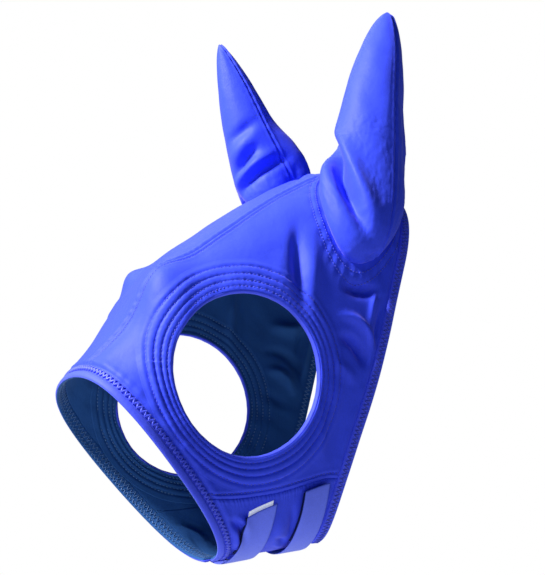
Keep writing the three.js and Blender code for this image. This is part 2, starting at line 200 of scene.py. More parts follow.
# ---- folds in the cloth ----
def route_distance(points, route):
    """Distance from each point to a route of points, and the share of the route where it is nearest."""
    best = np.full(len(points), 1e9)
    share = np.zeros(len(points))
    lengths = np.linalg.norm(np.diff(route, axis=0), axis=1)
    start = np.concatenate([[0], np.cumsum(lengths)])
    for a, b, length, begin in zip(route[:-1], route[1:], lengths, start):
        t = np.clip((points - a) @ (b - a) / length**2, 0, 1)
        d = np.linalg.norm(points - a - t[:, None] * (b - a), axis=1)
        near = d < best
        best[near], share[near] = d[near], ((begin + t * length) / start[-1])[near]
    return best, share


def through(places):
    """A smooth curve through a few places, as the first and the second numbers of its points."""
    t = np.linspace(0, 1, len(places))
    return (spline(t, values)(np.linspace(0, 1, 14)) for values in zip(*places))


def smooth_route(places):
    """A smooth curve through a few (u, phi / pi) places of the hood, as points of the surface."""
    u, phi = through(places)
    return surface(u, phi * math.pi)


FOLD_FADE = 0.45


def crease(points, route, width, height):
    """Height of one soft fold along a route: it fades over the first and last parts of its length."""
    reach = 3 * width
    near = ((points > route.min(0) - reach) & (points < route.max(0) + reach)).all(1)
    total = np.zeros(len(points))
    d, share = route_distance(points[near], route)
    fade = np.clip(share / FOLD_FADE, 0, 1) * np.clip((1 - share) / FOLD_FADE, 0, 1)
    fade = fade * fade * (3 - 2 * fade)
    total[near] = height * fade * np.exp(-((d / width) ** 2))
    return total


# Folds of the hood as (places, width, height): valleys are negative. Places are (u, phi / pi).
LEFT_FOLDS = [
    ([(0.71, 0.25), (0.68, 0.36), (0.665, 0.50)], 5.6, -7.0),
    ([(0.745, 0.28), (0.725, 0.38), (0.70, 0.50)], 6.5, 3.0),
    ([(0.64, 0.31), (0.62, 0.38), (0.615, 0.44)], 8.0, 2.0),
    ([(0.80, 0.42), (0.88, 0.435), (0.95, 0.42)], 5.0, -8.5),
    ([(0.78, 0.465), (0.86, 0.475), (0.93, 0.50), (0.965, 0.53)], 4.0, 5.8),
    ([(0.79, 0.50), (0.87, 0.51), (0.94, 0.545)], 4.6, -7.6),
    ([(0.76, 0.53), (0.84, 0.545), (0.91, 0.57)], 5.0, 3.0),
    ([(0.965, 0.42), (0.95, 0.47), (0.955, 0.53)], 2.8, -3.4),
    ([(0.935, 0.40), (0.92, 0.45), (0.925, 0.50)], 3.0, 2.2),
    ([(0.70, 0.55), (0.75, 0.62), (0.79, 0.70)], 6.0, 2.4),
    ([(0.73, 0.54), (0.78, 0.61), (0.82, 0.69)], 6.0, -2.6),
    ([(0.83, 0.57), (0.86, 0.64), (0.875, 0.72)], 7.0, -1.6),
    ([(0.10, 0.70), (0.17, 0.76), (0.19, 0.84)], 2.8, -3.6),
    ([(0.14, 0.70), (0.21, 0.745), (0.235, 0.80)], 2.8, 1.8),
    ([(0.17, 0.72), (0.14, 0.80), (0.13, 0.88)], 2.8, 2.2),
    ([(0.45, 0.75), (0.47, 0.82), (0.46, 0.90)], 6.0, 2.4),
    ([(0.42, 0.83), (0.49, 0.86), (0.57, 0.90)], 2.6, -2.0),
    ([(0.43, 0.87), (0.50, 0.90), (0.58, 0.93)], 2.8, 1.6),
    ([(0.55, 0.74), (0.575, 0.80), (0.565, 0.88)], 3.4, -2.2),
    ([(0.05, 0.20), (0.12, 0.27), (0.16, 0.33)], 9.0, -1.6),
    ([(0.08, 0.36), (0.13, 0.40), (0.17, 0.42)], 6.0, 1.4),
    ([(0.78, 0.10), (0.84, 0.03), (0.90, -0.03)], 4.0, 1.6),
    ([(0.72, 0.14), (0.79, 0.06), (0.86, -0.02)], 4.0, -1.8),
    ([(0.84, 0.10), (0.90, 0.05), (0.95, 0.0)], 4.0, -2.0),
]
RIGHT_FOLDS = [
    ([(0.30, 0.0), (0.33, -0.07), (0.325, -0.14)], 13.0, 8.0),
    ([(0.25, -0.17), (0.275, -0.235), (0.285, -0.31)], 15.0, -9.0),
]
MIRRORED = [([(u, -phi) for u, phi in places], width, height) for places, width, height in LEFT_FOLDS]
FOLD_ROUTES = [(smooth_route(places), width, height)
               for places, width, height in LEFT_FOLDS + MIRRORED + RIGHT_FOLDS]


def drape(u, phi):
    """How far folds and slack carry the cloth out from the smooth surface."""
    p = surface(u, phi)
    flat = p.reshape(-1, 3)
    total = np.zeros(len(flat))
    for route, width, height in FOLD_ROUTES:
        total += crease(flat, route, width, height)
    x, y, z = flat.T
    total += 0.45 * np.sin(0.041 * y + 0.052 * z + 0.3) * np.sin(0.047 * z - 0.033 * x + 1.1)
    total += 0.22 * np.sin(0.13 * y - 0.09 * z + 0.05 * x) * np.sin(0.11 * z + 0.07 * y + 2.0)
    return total.reshape(p.shape[:-1])


def hood(u, phi, lift=0.0):
    """Points at a lift above the draped cloth."""
    return bare(u, phi, lift + drape(u, phi) * settle(u, phi))


def settle(u, phi):
    """Folds die out at the hems and at the eye binding, which hold the cloth."""
    du0 = np.linalg.norm(slopes(0 * u, phi)[0], axis=-1)
    du1 = np.linalg.norm(slopes(0 * u + 1, phi)[0], axis=-1)
    nose = np.clip(u * du0 / NOSE_HEM, 0, 1)
    neck = np.clip((1 - u) * du1 / NECK_HEM, 0, 1)
    p = surface(u, phi)
    out = np.hypot(p[..., 1] / EYE_Y, p[..., 2] / EYE_Z) * (EYE_Y + EYE_Z) / 2 - (EYE_Y + EYE_Z) / 2
    eye = np.where(p[..., 2] > -90, np.clip((out - 6) / 30, 0, 1), 1)
    return (0.25 + 0.75 * nose) * (0.3 + 0.7 * neck) * (0.1 + 0.9 * eye)


# ---- mesh making ----
def mesh(name, points, faces, uv=None, material=None):
    """An object made of points in millimetres and faces that all have the same number of sides."""
    data = bpy.data.meshes.new(name)
    points = np.asarray(points, float).reshape(-1, 3) * 0.001
    faces = np.asarray(faces, int)
    data.vertices.add(len(points))
    data.vertices.foreach_set("co", points.astype(np.float32).ravel())
    sides = faces.shape[1]
    data.loops.add(faces.size)
    data.loops.foreach_set("vertex_index", faces.ravel().astype(np.int32))
    data.polygons.add(len(faces))
    data.polygons.foreach_set("loop_start", np.arange(0, faces.size, sides, dtype=np.int32))
    data.update(calc_edges=True)
    data.polygons.foreach_set("use_smooth", np.full(len(faces), True))
    if uv is not None:
        layer = data.uv_layers.new(name="cloth")
        corners = np.asarray(uv, float).reshape(-1, 2)[faces.ravel()]
        layer.data.foreach_set("uv", corners.astype(np.float32).ravel())
    data.validate()
    obj = bpy.data.objects.new(name, data)
    bpy.context.scene.collection.objects.link(obj)
    if material is not None:
        data.materials.append(material)
    return obj


def grid_faces(rows, columns, closed):
    """Faces of a grid of points. A closed one joins its last column to its first."""
    i, j = np.meshgrid(np.arange(rows - 1), np.arange(columns if closed else columns - 1), indexing="ij")
    n = (j + 1) % columns
    this, below = i * columns, (i + 1) * columns
    return np.stack([this + j, below + j, below + n, this + n], -1).reshape(-1, 4)


def outward(points, faces):
    """The faces, turned round if the closed mesh they make is inside out."""
    a, b, c, d = (points[faces[:, k]] for k in range(4))
    volume = (a * (np.cross(b, c) + np.cross(c, d))).sum()
    return faces if volume > 0 else faces[:, ::-1]


def sheet(name, inner, outer, material, uv=None, closed=False, keep=None):
    """A closed piece of cloth between two grids of points. keep says which faces stay, for a hole."""
    rows, columns = inner.shape[:2]
    count = rows * columns
    points = np.concatenate([inner.reshape(-1, 3), outer.reshape(-1, 3)])
    faces = grid_faces(rows, columns, closed)
    if keep is not None:
        faces = faces[keep]
    edges = np.stack([faces, np.roll(faces, -1, axis=1)], -1).reshape(-1, 2)
    key = edges.min(1) * count + edges.max(1)
    _, first, uses = np.unique(key, return_index=True, return_counts=True)
    rim = edges[first[uses == 1]]
    walls = np.stack([rim[:, 1], rim[:, 0], rim[:, 0] + count, rim[:, 1] + count], -1)
    everything = np.concatenate([faces[:, ::-1], faces + count, walls[:, ::-1]])
    used, everything = np.unique(everything, return_inverse=True)
    everything = everything.reshape(-1, 4)
    points = points[used]
    uvs = None if uv is None else np.concatenate([uv.reshape(-1, 2)] * 2)[used]
    return mesh(name, points, outward(points, everything), uvs, material)


def arc_uv(points):
    """Coordinates along a grid of points in millimetres, so that a weave keeps its size."""
    down = np.linalg.norm(np.diff(points, axis=0), axis=-1).mean(1)
    across = np.linalg.norm(np.diff(points, axis=1), axis=-1).mean(0)
    v = np.concatenate([[0], np.cumsum(down)])
    w = np.concatenate([[0], np.cumsum(across)])
    return np.stack(np.meshgrid(v, w, indexing="ij"), -1) * 0.001


TUBE_SIDES = 8


def tube(name, path, up, radius, material, flatten):
    """A thread along a path of points; up is the direction away from the cloth."""
    along = unit(np.gradient(path, axis=0))
    side = unit(np.cross(along, up))
    top = np.cross(side, along)
    angle = np.linspace(0, 2 * math.pi, TUBE_SIDES, endpoint=False)
    ring = side[:, None] * np.cos(angle)[:, None] + top[:, None] * (flatten * np.sin(angle))[:, None]
    points = (path[:, None] + ring * radius).reshape(-1, 3)
    last = (len(path) - 1) * TUBE_SIDES
    caps = []
    for k in range(1, TUBE_SIDES - 2, 2):
        caps.append([0, k, k + 1, k + 2])
    for k in range(1, TUBE_SIDES - 2, 2):
        caps.append([last + k + 2, last + k + 1, last + k, last])
    faces = np.concatenate([grid_faces(len(path), TUBE_SIDES, True), np.array(caps)])
    return mesh(name, points, outward(points, faces), None, material)


# ---- stitches ----
def resample(path, step, closed=False):
    """Points every step millimetres along a path, and the direction there."""
    path = np.asarray(path, float)
    loop = np.vstack([path, path[:1]]) if closed else path
    run = np.concatenate([[0], np.cumsum(np.linalg.norm(np.diff(loop, axis=0), axis=1))])
    count = max(int(round(run[-1] / step)), 2)
    at = (np.arange(count) + 0.5) * run[-1] / count
    point = np.stack([np.interp(at, run, loop[:, k]) for k in range(3)], -1)
    ahead = np.stack([np.interp(at + 0.3, run, loop[:, k]) for k in range(3)], -1)
    behind = np.stack([np.interp(at - 0.3, run, loop[:, k]) for k in range(3)], -1)
    return point, unit(ahead - behind), at / run[-1]


# A stitch's outline as (place along it, width): it tapers to both ends.
STITCH_RINGS = [(-0.5, 0.12), (-0.42, 0.8), (-0.2, 1.0), (0.2, 1.0), (0.42, 0.8), (0.5, 0.12)]


def stitches(name, routes, length, radius, material, gap=0.32):
    """One short raised thread after another along routes of (points, up directions)."""
    points, faces = [], []
    sides = 6
    angle = np.linspace(0, 2 * math.pi, sides, endpoint=False)
    template = np.array([[s, w * math.cos(a), w * math.sin(a)] for s, w in STITCH_RINGS for a in angle])
    ring_faces = grid_faces(len(STITCH_RINGS), sides, True)
    last = (len(STITCH_RINGS) - 1) * sides
    end = np.array([[0, 1, 2, 3], [0, 3, 4, 5]])
    faces_one = outward(template, np.concatenate([ring_faces, end[:, ::-1], last + end]))
    base = 0
    for path, up, closed in routes:
        where, along, share = resample(path, length, closed)
        run = np.linspace(0, 1, len(up))
        lift = unit(np.stack([np.interp(share, run, up[:, k]) for k in range(3)], -1))
        side = unit(np.cross(along, lift))
        top = np.cross(side, along)
        size = length * (1 - gap)
        sag = 1 - (2 * template[:, 0]) ** 2
        local = (along[:, None] * (template[:, 0] * size)[None, :, None]
                 + side[:, None] * (template[:, 1] * radius)[None, :, None]
                 + top[:, None] * (template[:, 2] * radius * 0.8 + sag * radius * 0.35)[None, :, None])
        made = (where[:, None] + local).reshape(-1, 3)
        points.append(made)
        offsets = base + np.arange(len(where)) * len(template)
        faces.append((faces_one[None] + offsets[:, None, None]).reshape(-1, 4))
        base += len(made)
    return mesh(name, np.concatenate(points), np.concatenate(faces), None, material)


def zigzag(path, up, pitch, swing):
    """A zigzag to both sides of a path of points."""
    where, along, share = resample(path, pitch / 2)
    run = np.linspace(0, 1, len(up))
    lift = unit(np.stack([np.interp(share, run, up[:, k]) for k in range(3)], -1))
    side = unit(np.cross(along, lift))
    sign = np.where(np.arange(len(where)) % 2, 1, -1)[:, None]
    return where + side * sign * swing, lift


def rounded(path, up, per=3):
    """More points along a zigzag, with its corners softened."""
    share = np.linspace(0, len(path) - 1, (len(path) - 1) * per + 1)
    k = np.minimum(share.astype(int), len(path) - 2)
    t = (share - k)[:, None]
    t = t - 0.16 * np.sin(2 * math.pi * t)
    return path[k] * (1 - t) + path[k + 1] * t, up[k] * (1 - t) + up[k + 1] * t


# ---- materials ----
def shader(name, roughness):
    material = bpy.data.materials.new(name)
    material.use_nodes = True
    bsdf = material.node_tree.nodes["Principled BSDF"]
    bsdf.inputs["Roughness"].default_value = roughness
    return material, material.node_tree, bsdf


def node(tree, kind, **settings):
    """A new node; each setting is an input if the node has one of that name, or else an attribute."""
    made = tree.nodes.new(kind)
    for key, value in settings.items():
        if key in made.inputs:
            made.inputs[key].default_value = value
        else:
            setattr(made, key, value)
    return made


def mixed(tree, a, b):
    """A mix of two colours."""
    made = node(tree, "ShaderNodeMix", data_type="RGBA")
    made.inputs["A"].default_value = (*a, 1)
    made.inputs["B"].default_value = (*b, 1)
    return made


def knit(name, colour, deep, roughness, sheen, sheen_tint, weave=0.55, weave_height=0.05, patch=0.35,
         distortion=(1.6, 1.2)):
    """Knitted cloth: fine rows of loops from the cloth's own coordinates, and soft uneven dye."""
    material, tree, bsdf = shader(name, roughness)
    bsdf.inputs["Sheen Weight"].default_value = sheen
    bsdf.inputs["Sheen Tint"].default_value = (*sheen_tint, 1)
    bsdf.inputs["Sheen Roughness"].default_value = 0.42
    bsdf.inputs["Specular IOR Level"].default_value = 0.22
    link = tree.links.new
    place = node(tree, "ShaderNodeTexCoord")
    soft = node(tree, "ShaderNodeTexNoise", Scale=22.0, Detail=3.0, Roughness=0.55)
    link(place.outputs["Object"], soft.inputs["Vector"])
    fine = node(tree, "ShaderNodeTexNoise", Scale=900.0, Detail=2.0, Roughness=0.6)
    link(place.outputs["Object"], fine.inputs["Vector"])
    blend = mixed(tree, colour, deep)
    weigh = node(tree, "ShaderNodeMath", operation="MULTIPLY")
    weigh.inputs[1].default_value = patch
    link(soft.outputs["Fac"], weigh.inputs[0])
    link(weigh.outputs[0], blend.inputs["Factor"])
    speck = node(tree, "ShaderNodeMix", data_type="RGBA", blend_type="MULTIPLY")
    speck.inputs["Factor"].default_value = 0.22
    grey = node(tree, "ShaderNodeMapRange")
    for key, value in (("From Min", 0.35), ("From Max", 0.65), ("To Min", 0.72), ("To Max", 1.15)):
        grey.inputs[key].default_value = value
    link(fine.outputs["Fac"], grey.inputs["Value"])
    link(blend.outputs["Result"], speck.inputs["A"])
    link(grey.outputs["Result"], speck.inputs["B"])
    link(speck.outputs["Result"], bsdf.inputs["Base Color"])
    cloth = node(tree, "ShaderNodeUVMap", uv_map="cloth")
    scale = node(tree, "ShaderNodeVectorMath", operation="SCALE")
    scale.inputs["Scale"].default_value = 1000.0 / weave
    link(cloth.outputs["UV"], scale.inputs[0])
    both = node(tree, "ShaderNodeMath", operation="MULTIPLY")
    for k, direction in enumerate("XY"):
        bands = node(tree, "ShaderNodeTexWave", wave_type="BANDS", bands_direction=direction, Scale=0.5,
                     Distortion=distortion[k])
        link(scale.outputs[0], bands.inputs["Vector"])
        link(bands.outputs["Fac"], both.inputs[k])
    total = node(tree, "ShaderNodeMath", operation="ADD")
    link(both.outputs[0], total.inputs[0])
    link(fine.outputs["Fac"], total.inputs[1])
    uneven = node(tree, "ShaderNodeTexNoise", Scale=95.0, Detail=3.0, Roughness=0.5)
    link(place.outputs["Object"], uneven.inputs["Vector"])
    slack = node(tree, "ShaderNodeBump", Strength=0.55, Distance=0.001)
    link(uneven.outputs["Fac"], slack.inputs["Height"])
    bump = node(tree, "ShaderNodeBump", Strength=0.5, Distance=weave_height * 0.001)
    link(slack.outputs["Normal"], bump.inputs["Normal"])
    link(total.outputs[0], bump.inputs["Height"])
    link(bump.outputs["Normal"], bsdf.inputs["Normal"])
    return material


def thread(name, colour, roughness=0.5):
    """Twisted thread, with a fine slanting bump."""
    material, tree, bsdf = shader(name, roughness)
    bsdf.inputs["Sheen Weight"].default_value = 0.3
    link = tree.links.new
    place = node(tree, "ShaderNodeTexCoord")
    noise = node(tree, "ShaderNodeTexNoise", Scale=1500.0, Detail=2.0)
    link(place.outputs["Object"], noise.inputs["Vector"])
    mix = mixed(tree, [c * 0.75 for c in colour], [min(c * 1.2, 1) for c in colour])
    link(noise.outputs["Fac"], mix.inputs["Factor"])
    link(mix.outputs["Result"], bsdf.inputs["Base Color"])
    bump = node(tree, "ShaderNodeBump", Strength=0.4, Distance=0.00008)
    link(noise.outputs["Fac"], bump.inputs["Height"])
    link(bump.outputs["Normal"], bsdf.inputs["Normal"])
    return material


ROYAL = knit("royal_cloth", (0.040, 0.074, 0.88), (0.026, 0.056, 0.74), 0.58, 0.24, (0.66, 0.55, 1.0))
EDGE = knit("royal_edge", (0.075, 0.105, 0.95), (0.06, 0.09, 0.88), 0.6, 0.25, (0.5, 0.58, 1.0),
            weave=0.8, weave_height=0.09)
LINING = knit("dark_lining", (0.022, 0.108, 0.35), (0.013, 0.068, 0.23), 0.82, 0.25, (0.25, 0.45, 0.7),
              weave=0.9, weave_height=0.1, patch=0.8)
STRAP = knit("strap_cloth", (0.15, 0.20, 0.98), (0.13, 0.175, 0.95), 0.52, 0.35, (0.7, 0.72, 1.0),
             weave=0.5, weave_height=0.03, patch=0.3)
FOAM = knit("foam", (0.02, 0.03, 0.10), (0.01, 0.02, 0.07), 0.95, 0.1, (0.5, 0.5, 0.7),
            weave=1.4, weave_height=0.3)
GLOWING_WHITE = knit("label_cloth", (0.86, 0.88, 0.93), (0.80, 0.83, 0.9), 0.7, 0.2, (1, 1, 1),
             weave=0.4, weave_height=0.03)
# The label glows a little so that it looks bright where it lies in shade: painted light, not a lamp.
label_glow_shader = GLOWING_WHITE.node_tree.nodes["Principled BSDF"]
label_glow_shader.inputs["Emission Color"].default_value = (0.85, 0.90, 1, 1)
label_glow_shader.inputs["Emission Strength"].default_value = 0.35
LOOPS = knit("loop_tape", (0.012, 0.022, 0.16), (0.008, 0.014, 0.10), 0.9, 0.5, (0.3, 0.35, 0.8),
             weave=0.7, weave_height=0.35, patch=0.9)
HOOKS = knit("hook_tape", (0.012, 0.020, 0.12), (0.008, 0.012, 0.08), 0.6, 0.0, (1, 1, 1),
             weave=1.0, weave_height=0.4, distortion=(0.3, 0.2))
# This thread is darker than the cloth so that the stitches read as dark dashes: painted shade of the stitch
# holes.
PAINTED_SHADE_THREAD = thread("royal_thread", (0.024, 0.040, 0.55))
CORD = thread("nose_cord", (0.036, 0.060, 0.78))
LIGHT_THREAD = thread("light_thread", (0.20, 0.25, 0.95))
TEAL_THREAD = thread("teal_thread", (0.06, 0.17, 0.42))


# ---- panels ----
def corner(u_of, phi_of):
    """The (u, phi) where a hem and a seam meet."""
    u = 0.5
    for _ in range(30):
        u = float(u_of(phi_of(u)))
    return u, float(phi_of(u))


def patch_edges(top_of, bottom_of):
    """The four edges of a patch between two hems and two curves phi(u), as functions of 0..1."""
    under = 0.6
    ends = {"nose": lambda phi: nose_u(phi, NOSE_HEM - under),
            "neck": lambda phi: neck_u(phi, NECK_HEM - under)}
    at = {(end, which): corner(of, curve)
          for end, of in ends.items() for which, curve in (("top", top_of), ("bottom", bottom_of))}

    def across(end):
        a, b = at[end, "top"], at[end, "bottom"]
        return lambda t: (ends[end](a[1] + (b[1] - a[1]) * t), a[1] + (b[1] - a[1]) * t)

    def along(which, curve):
        a, b = at["nose", which], at["neck", which]
        return lambda t: (a[0] + (b[0] - a[0]) * t, curve(a[0] + (b[0] - a[0]) * t))

    return {"nose": across("nose"), "neck": across("neck"),
            "top": along("top", top_of), "bottom": along("bottom", bottom_of)}


def patch_grid(top_of, bottom_of, rows, columns):
    """A grid of (u, phi) over a patch, rows from nose to neck."""
    edge = patch_edges(top_of, bottom_of)
    s, t = np.linspace(0, 1, rows)[:, None], np.linspace(0, 1, columns)[None]
    top, bottom = (np.stack(np.broadcast_arrays(*edge[k](s[:, 0])), -1)[:, None] for k in ("top", "bottom"))
    nose, neck = (np.stack(np.broadcast_arrays(*edge[k](t[0])), -1)[None] for k in ("nose", "neck"))
    s, t = s[..., None], t[..., None]
    at_nose = (1 - t) * nose[:, :1] + t * nose[:, -1:]
    at_neck = (1 - t) * neck[:, :1] + t * neck[:, -1:]
    corners = (1 - s) * at_nose + s * at_neck
    grid = (1 - t) * top + t * bottom + (1 - s) * nose + s * neck - corners
    return grid[..., 0], grid[..., 1]


def ear_share(u, phi):
    """Below 1 inside the oval that an ear stands on."""
    return np.hypot((u - EAR_U) / EAR_U_RADIUS, (np.abs(phi) - EAR_PHI) / EAR_PHI_RADIUS)


def open_for_ears(u, phi, closed, edge=0.94):
    """The grid pulled to the edge of the ear holes, and which of its faces stay."""
    share = ear_share(u, phi)
    faces = grid_faces(*u.shape, closed)
    keep = (share.ravel()[faces] > edge).any(1)
    pull = np.where(share < edge, edge / np.maximum(share, 1e-6), 1)
    phi = np.sign(phi) * (EAR_PHI + (np.abs(phi) - EAR_PHI) * pull)
    return EAR_U + (u - EAR_U) * pull, phi, keep


def bump_at(d, centre, width, height):
    return height * np.exp(-(((d - centre) / width) ** 2))


def seam_lift(u, phi):
    """Dips at the seams and their stitch rows and puffs beside them, on the panels and round the ears."""
    _, dphi = slopes(u, phi)
    size = np.linalg.norm(dphi, axis=-1)
    total = 0.0
    for curve, row, dip, towards in ((face_seam, FACE_ROW, -1.0, 1), (jaw_seam, JAW_ROW, -0.55, -1)):
        signed = (np.abs(phi) - curve(u)) * size
        d = np.abs(signed)
        sewn = signed * towards > 0
        pucker = 0.22 * np.sin(2 * math.pi * u * 44 + 1.7 * np.sin(u * 61)) * np.exp(-((d / 4.5) ** 2))
        total = total + bump_at(d, 0, 1.3, dip) + bump_at(d, 2.7, 1.5, 0.3) + pucker
        total = total + np.where(sewn, bump_at(d, row, 0.9, -0.75) + bump_at(d, row + 2.6, 1.8, 0.3), 0)
    out = (ear_share(u, phi) - 1) * EAR_OVAL
    angle = np.arctan2((np.abs(phi) - EAR_PHI) / EAR_PHI_RADIUS, (u - EAR_U) / EAR_U_RADIUS)
    gathers = bump_at(out, 5, 4, 0.28) * np.sin(angle * 26 + np.sin(5 * angle))
    total = total + bump_at(out, 0.4, 1.4, -0.3) + bump_at(out, 3.4, 1.7, 0.4)
    return total + bump_at(out, EAR_ROWS[1], 0.9, -0.45) + gathers


def ring_width(angle):
    return RING_WIDTH - RING_NARROWING * np.maximum(np.cos(angle - RING_NARROW_AT), 0) ** 2


def ring_rows(angle):
    """Distances of the four stitch rows from the eye opening: closer together at the rear and the nose."""
    scale = ring_width(angle) / RING_WIDTH * (1 - 0.10 * np.maximum(np.cos(angle), 0))
    return RING_ROWS * scale[..., None]


def ring_lift(out, angle):
    """How far the padded ring lifts the cloth: four puffs between the stitch rows, then the cheek."""
    rows = ring_rows(angle)
    bounds = np.concatenate([np.full_like(rows[..., :1], RING_EDGE), rows], -1)
    lift = np.zeros(np.broadcast(out, angle).shape)
    over, under = np.maximum(np.sin(angle - 0.25), 0), np.maximum(-np.sin(angle), 0)
    height = RING_CREST * (1 - 0.36 * over - 0.12 * under)
    for k in range(4):
        begin, end = bounds[..., k], bounds[..., k + 1]
        t = (out - begin) / (end - begin)
        inside = (t >= 0) & (t <= 1)
        puff = np.maximum(1 - np.abs(2 * np.clip(t, 0, 1) - 1) ** 2.3, 0) ** 0.75
        top = height * (0.98, 1.0, 1.0, 0.92)[k]
        groove = RING_FLOORS[k] + (RING_FLOORS[k + 1] - RING_FLOORS[k]) * np.clip(t, 0, 1)
        if k == 0:
            puff = np.where(t < 0.5, 0.75 + 0.25 * puff, puff)
        lift = np.where(inside, groove + (top - groove) * puff, lift)
    past = out - rows[..., 3]
    roll = 0.1 * np.exp(-past / 2.2) + 0.75 * np.exp(-(((past - 2.6) / 2.4) ** 2)) * (1 - np.exp(-past / 0.9))
    lift = np.where(past > 0, roll, lift)
    return np.where(out < RING_EDGE, height * 0.8, lift)


def ring_ripple(out, angle):
    """Small puckers where the stitching gathers the ring."""
    rows = ring_rows(angle)
    d = np.abs(out[..., None] - rows).min(-1)
    near = np.exp(-((d / 1.6) ** 2))
    size = angle * 64
    fade = 1 / (1 + np.exp((out - rows[..., 3] - 4) / 2))
    slow = 0.30 * np.sin(size / 6.1 + 1.3 * np.sin(3 * angle)) * np.sin(size / 14.7 + out * 0.21 + 2.0)
    fast = 0.16 * near * np.sin(size * 2 * math.pi / 5.1 + 2 * np.sin(7 * angle))
    return (slow + fast) * fade


def eye_place(angle, out, side):
    return find_yz((EYE_Y + out) * np.cos(angle), (EYE_Z + out) * np.sin(angle), side)


def cheek_rim(side, count):
    """Points of the outline of a cheek panel, with the angle round the eye of each."""
    edge = patch_edges(lambda u: side * face_seam(u), lambda u: side * jaw_seam(u))
    t = np.linspace(0, 1, 400)[:-1]
    parts = [edge["top"](t), edge["neck"](t), edge["bottom"](1 - t), edge["nose"](1 - t)]
    u, phi = (np.concatenate([np.broadcast_to(p[k], t.shape) for p in parts]) for k in (0, 1))
    p = surface(u, phi)
    angle = np.unwrap(np.arctan2(p[:, 2] / EYE_Z, p[:, 1] / EYE_Y))
    loop = np.vstack([p, p[:1]])
    run = np.concatenate([[0], np.cumsum(np.linalg.norm(np.diff(loop, axis=0), axis=1))])
    turn = np.append(angle, angle[0] - 2 * math.pi)
    weight = 0.5 * run / run[-1] + 0.5 * (turn[0] - turn) / (2 * math.pi)
    at = np.arange(count) / count
    u, phi = (np.interp(at, weight, np.append(v, v[0])) for v in (u, phi))
    return u, phi, np.interp(at, weight, turn)


def cheek_grid(side, columns, near_rows, far_rows):
    """A grid of (u, phi) from the eye opening to the panel's rim, and each point's distance and angle."""
    u_rim, phi_rim, angle = cheek_rim(side, columns)
    near = np.linspace(0, 1, near_rows)[:, None]
    share = np.linspace(0, 1, far_rows)[1:]
    limit = np.minimum(30, ring_width(angle) + 6)
    out = RING_EDGE + near * (limit[None] - RING_EDGE)
    turn = np.broadcast_to(angle, out.shape)
    u, phi = eye_place(turn, out, side)
    u_far = u[-1] + (u_rim - u[-1]) * share[:, None]
    phi_far = phi[-1] + (phi_rim - phi[-1]) * share[:, None]
    u, phi = np.concatenate([u, u_far]), np.concatenate([phi, phi_far])
    out = np.concatenate([out, np.full(u_far.shape, FAR)])
    return u, phi, out, np.broadcast_to(angle, u.shape)


def edge_tuck(u, phi):
    """The cloth dips as it goes under the hems."""
    nose = u * np.linalg.norm(slopes(0 * u, phi)[0], axis=-1) - NOSE_HEM
    neck = (1 - u) * np.linalg.norm(slopes(0 * u + 1, phi)[0], axis=-1) - NECK_HEM
    wave = np.sin(phi * 46 + 2 * np.sin(phi * 7))
    at_nose = bump_at(nose, 0.4, 1.8, -1.0) + bump_at(nose, 4.5, 2.6, 0.5) + bump_at(nose, 4, 4, 0.25) * wave
    at_neck = bump_at(neck, 0.4, 1.8, -0.9) + bump_at(neck, 4.0, 2.4, 0.4) + bump_at(neck, 4, 4, 0.2) * wave
    return at_nose + at_neck


def cloth_top(u, phi):
    return CLOTH_HIGH + np.maximum(seam_lift(u, phi) + edge_tuck(u, phi), -1.0)


def piece(obj, body, slot, *nodes):
    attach(obj, body)
    if nodes:
        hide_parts(*nodes)
    return obj


def covering(base, inner, outer, lining, closed=False, keep=None):
    """A panel's cloth, or the lining under it, in place of its CAD node."""
    shown = inner if lining else outer
    uv = None if closed else arc_uv(shown)
    if lining:
        made = sheet(f"{base}_lining_cloth", inner, outer, LINING, uv, closed, keep)
        return piece(made, "root", "dark_lining", f"{base}_lining")
    made = sheet(f"{base}_cloth", inner, outer, ROYAL, uv, closed, keep)
    return piece(made, "root", "royal_cloth", f"{base}_panel")


def side_uv(obj):
    """Coordinates from the side of the head, for a panel whose grid runs round a hole."""
    layer = obj.data.uv_layers.new(name="cloth")
    co = np.array([v.co for v in obj.data.vertices])
    loops = np.zeros(len(obj.data.loops), int)
    obj.data.loops.foreach_get("vertex_index", loops)
    layer.data.foreach_set("uv", co[loops][:, 1:3].astype(np.float32).ravel())


def lining_wrinkle(u, phi):
    """The lining lies looser than the cloth over it, so it has more small creases of its own."""
    _, y, z = np.moveaxis(surface(u, phi), -1, 0)
    slant = 0.62 * y + 0.78 * z
    wave = np.sin(slant / 3.7 + 1.4 * np.sin(0.043 * y - 0.02 * z) + 0.6 * np.sin(0.11 * z))
    patch = 0.5 + 0.5 * np.sin(0.047 * y + 0.9) * np.sin(0.051 * z - 0.4)
    return 0.7 * np.maximum(wave, -0.4) * patch + 0.3 * np.sin(0.16 * y - 0.09 * z)


def seam_rows(side, offset, curve):
    """Routes beside a seam on top of the cloth, at an offset in millimetres below it."""
    u = np.linspace(0.05, 0.955, 420)
    base = side * curve(u)
    phi = base + side * offset / np.linalg.norm(slopes(u, base)[1], axis=-1)
    clear = ear_share(u, phi) > 1.12
    routes = []
    for run in np.split(np.arange(len(u)), np.nonzero(np.diff(clear.astype(int)))[0] + 1):
        if clear[run[0]] and len(run) > 4:
            routes.append(on_cloth(u[run], phi[run]))
    return routes


def on_cloth(u, phi):
    """A route of stitches on top of the draped cloth."""
    return hood(u, phi, cloth_top(u, phi) + 0.12), normals(u, phi), False


def fine(count):
    return int(count * FINE)


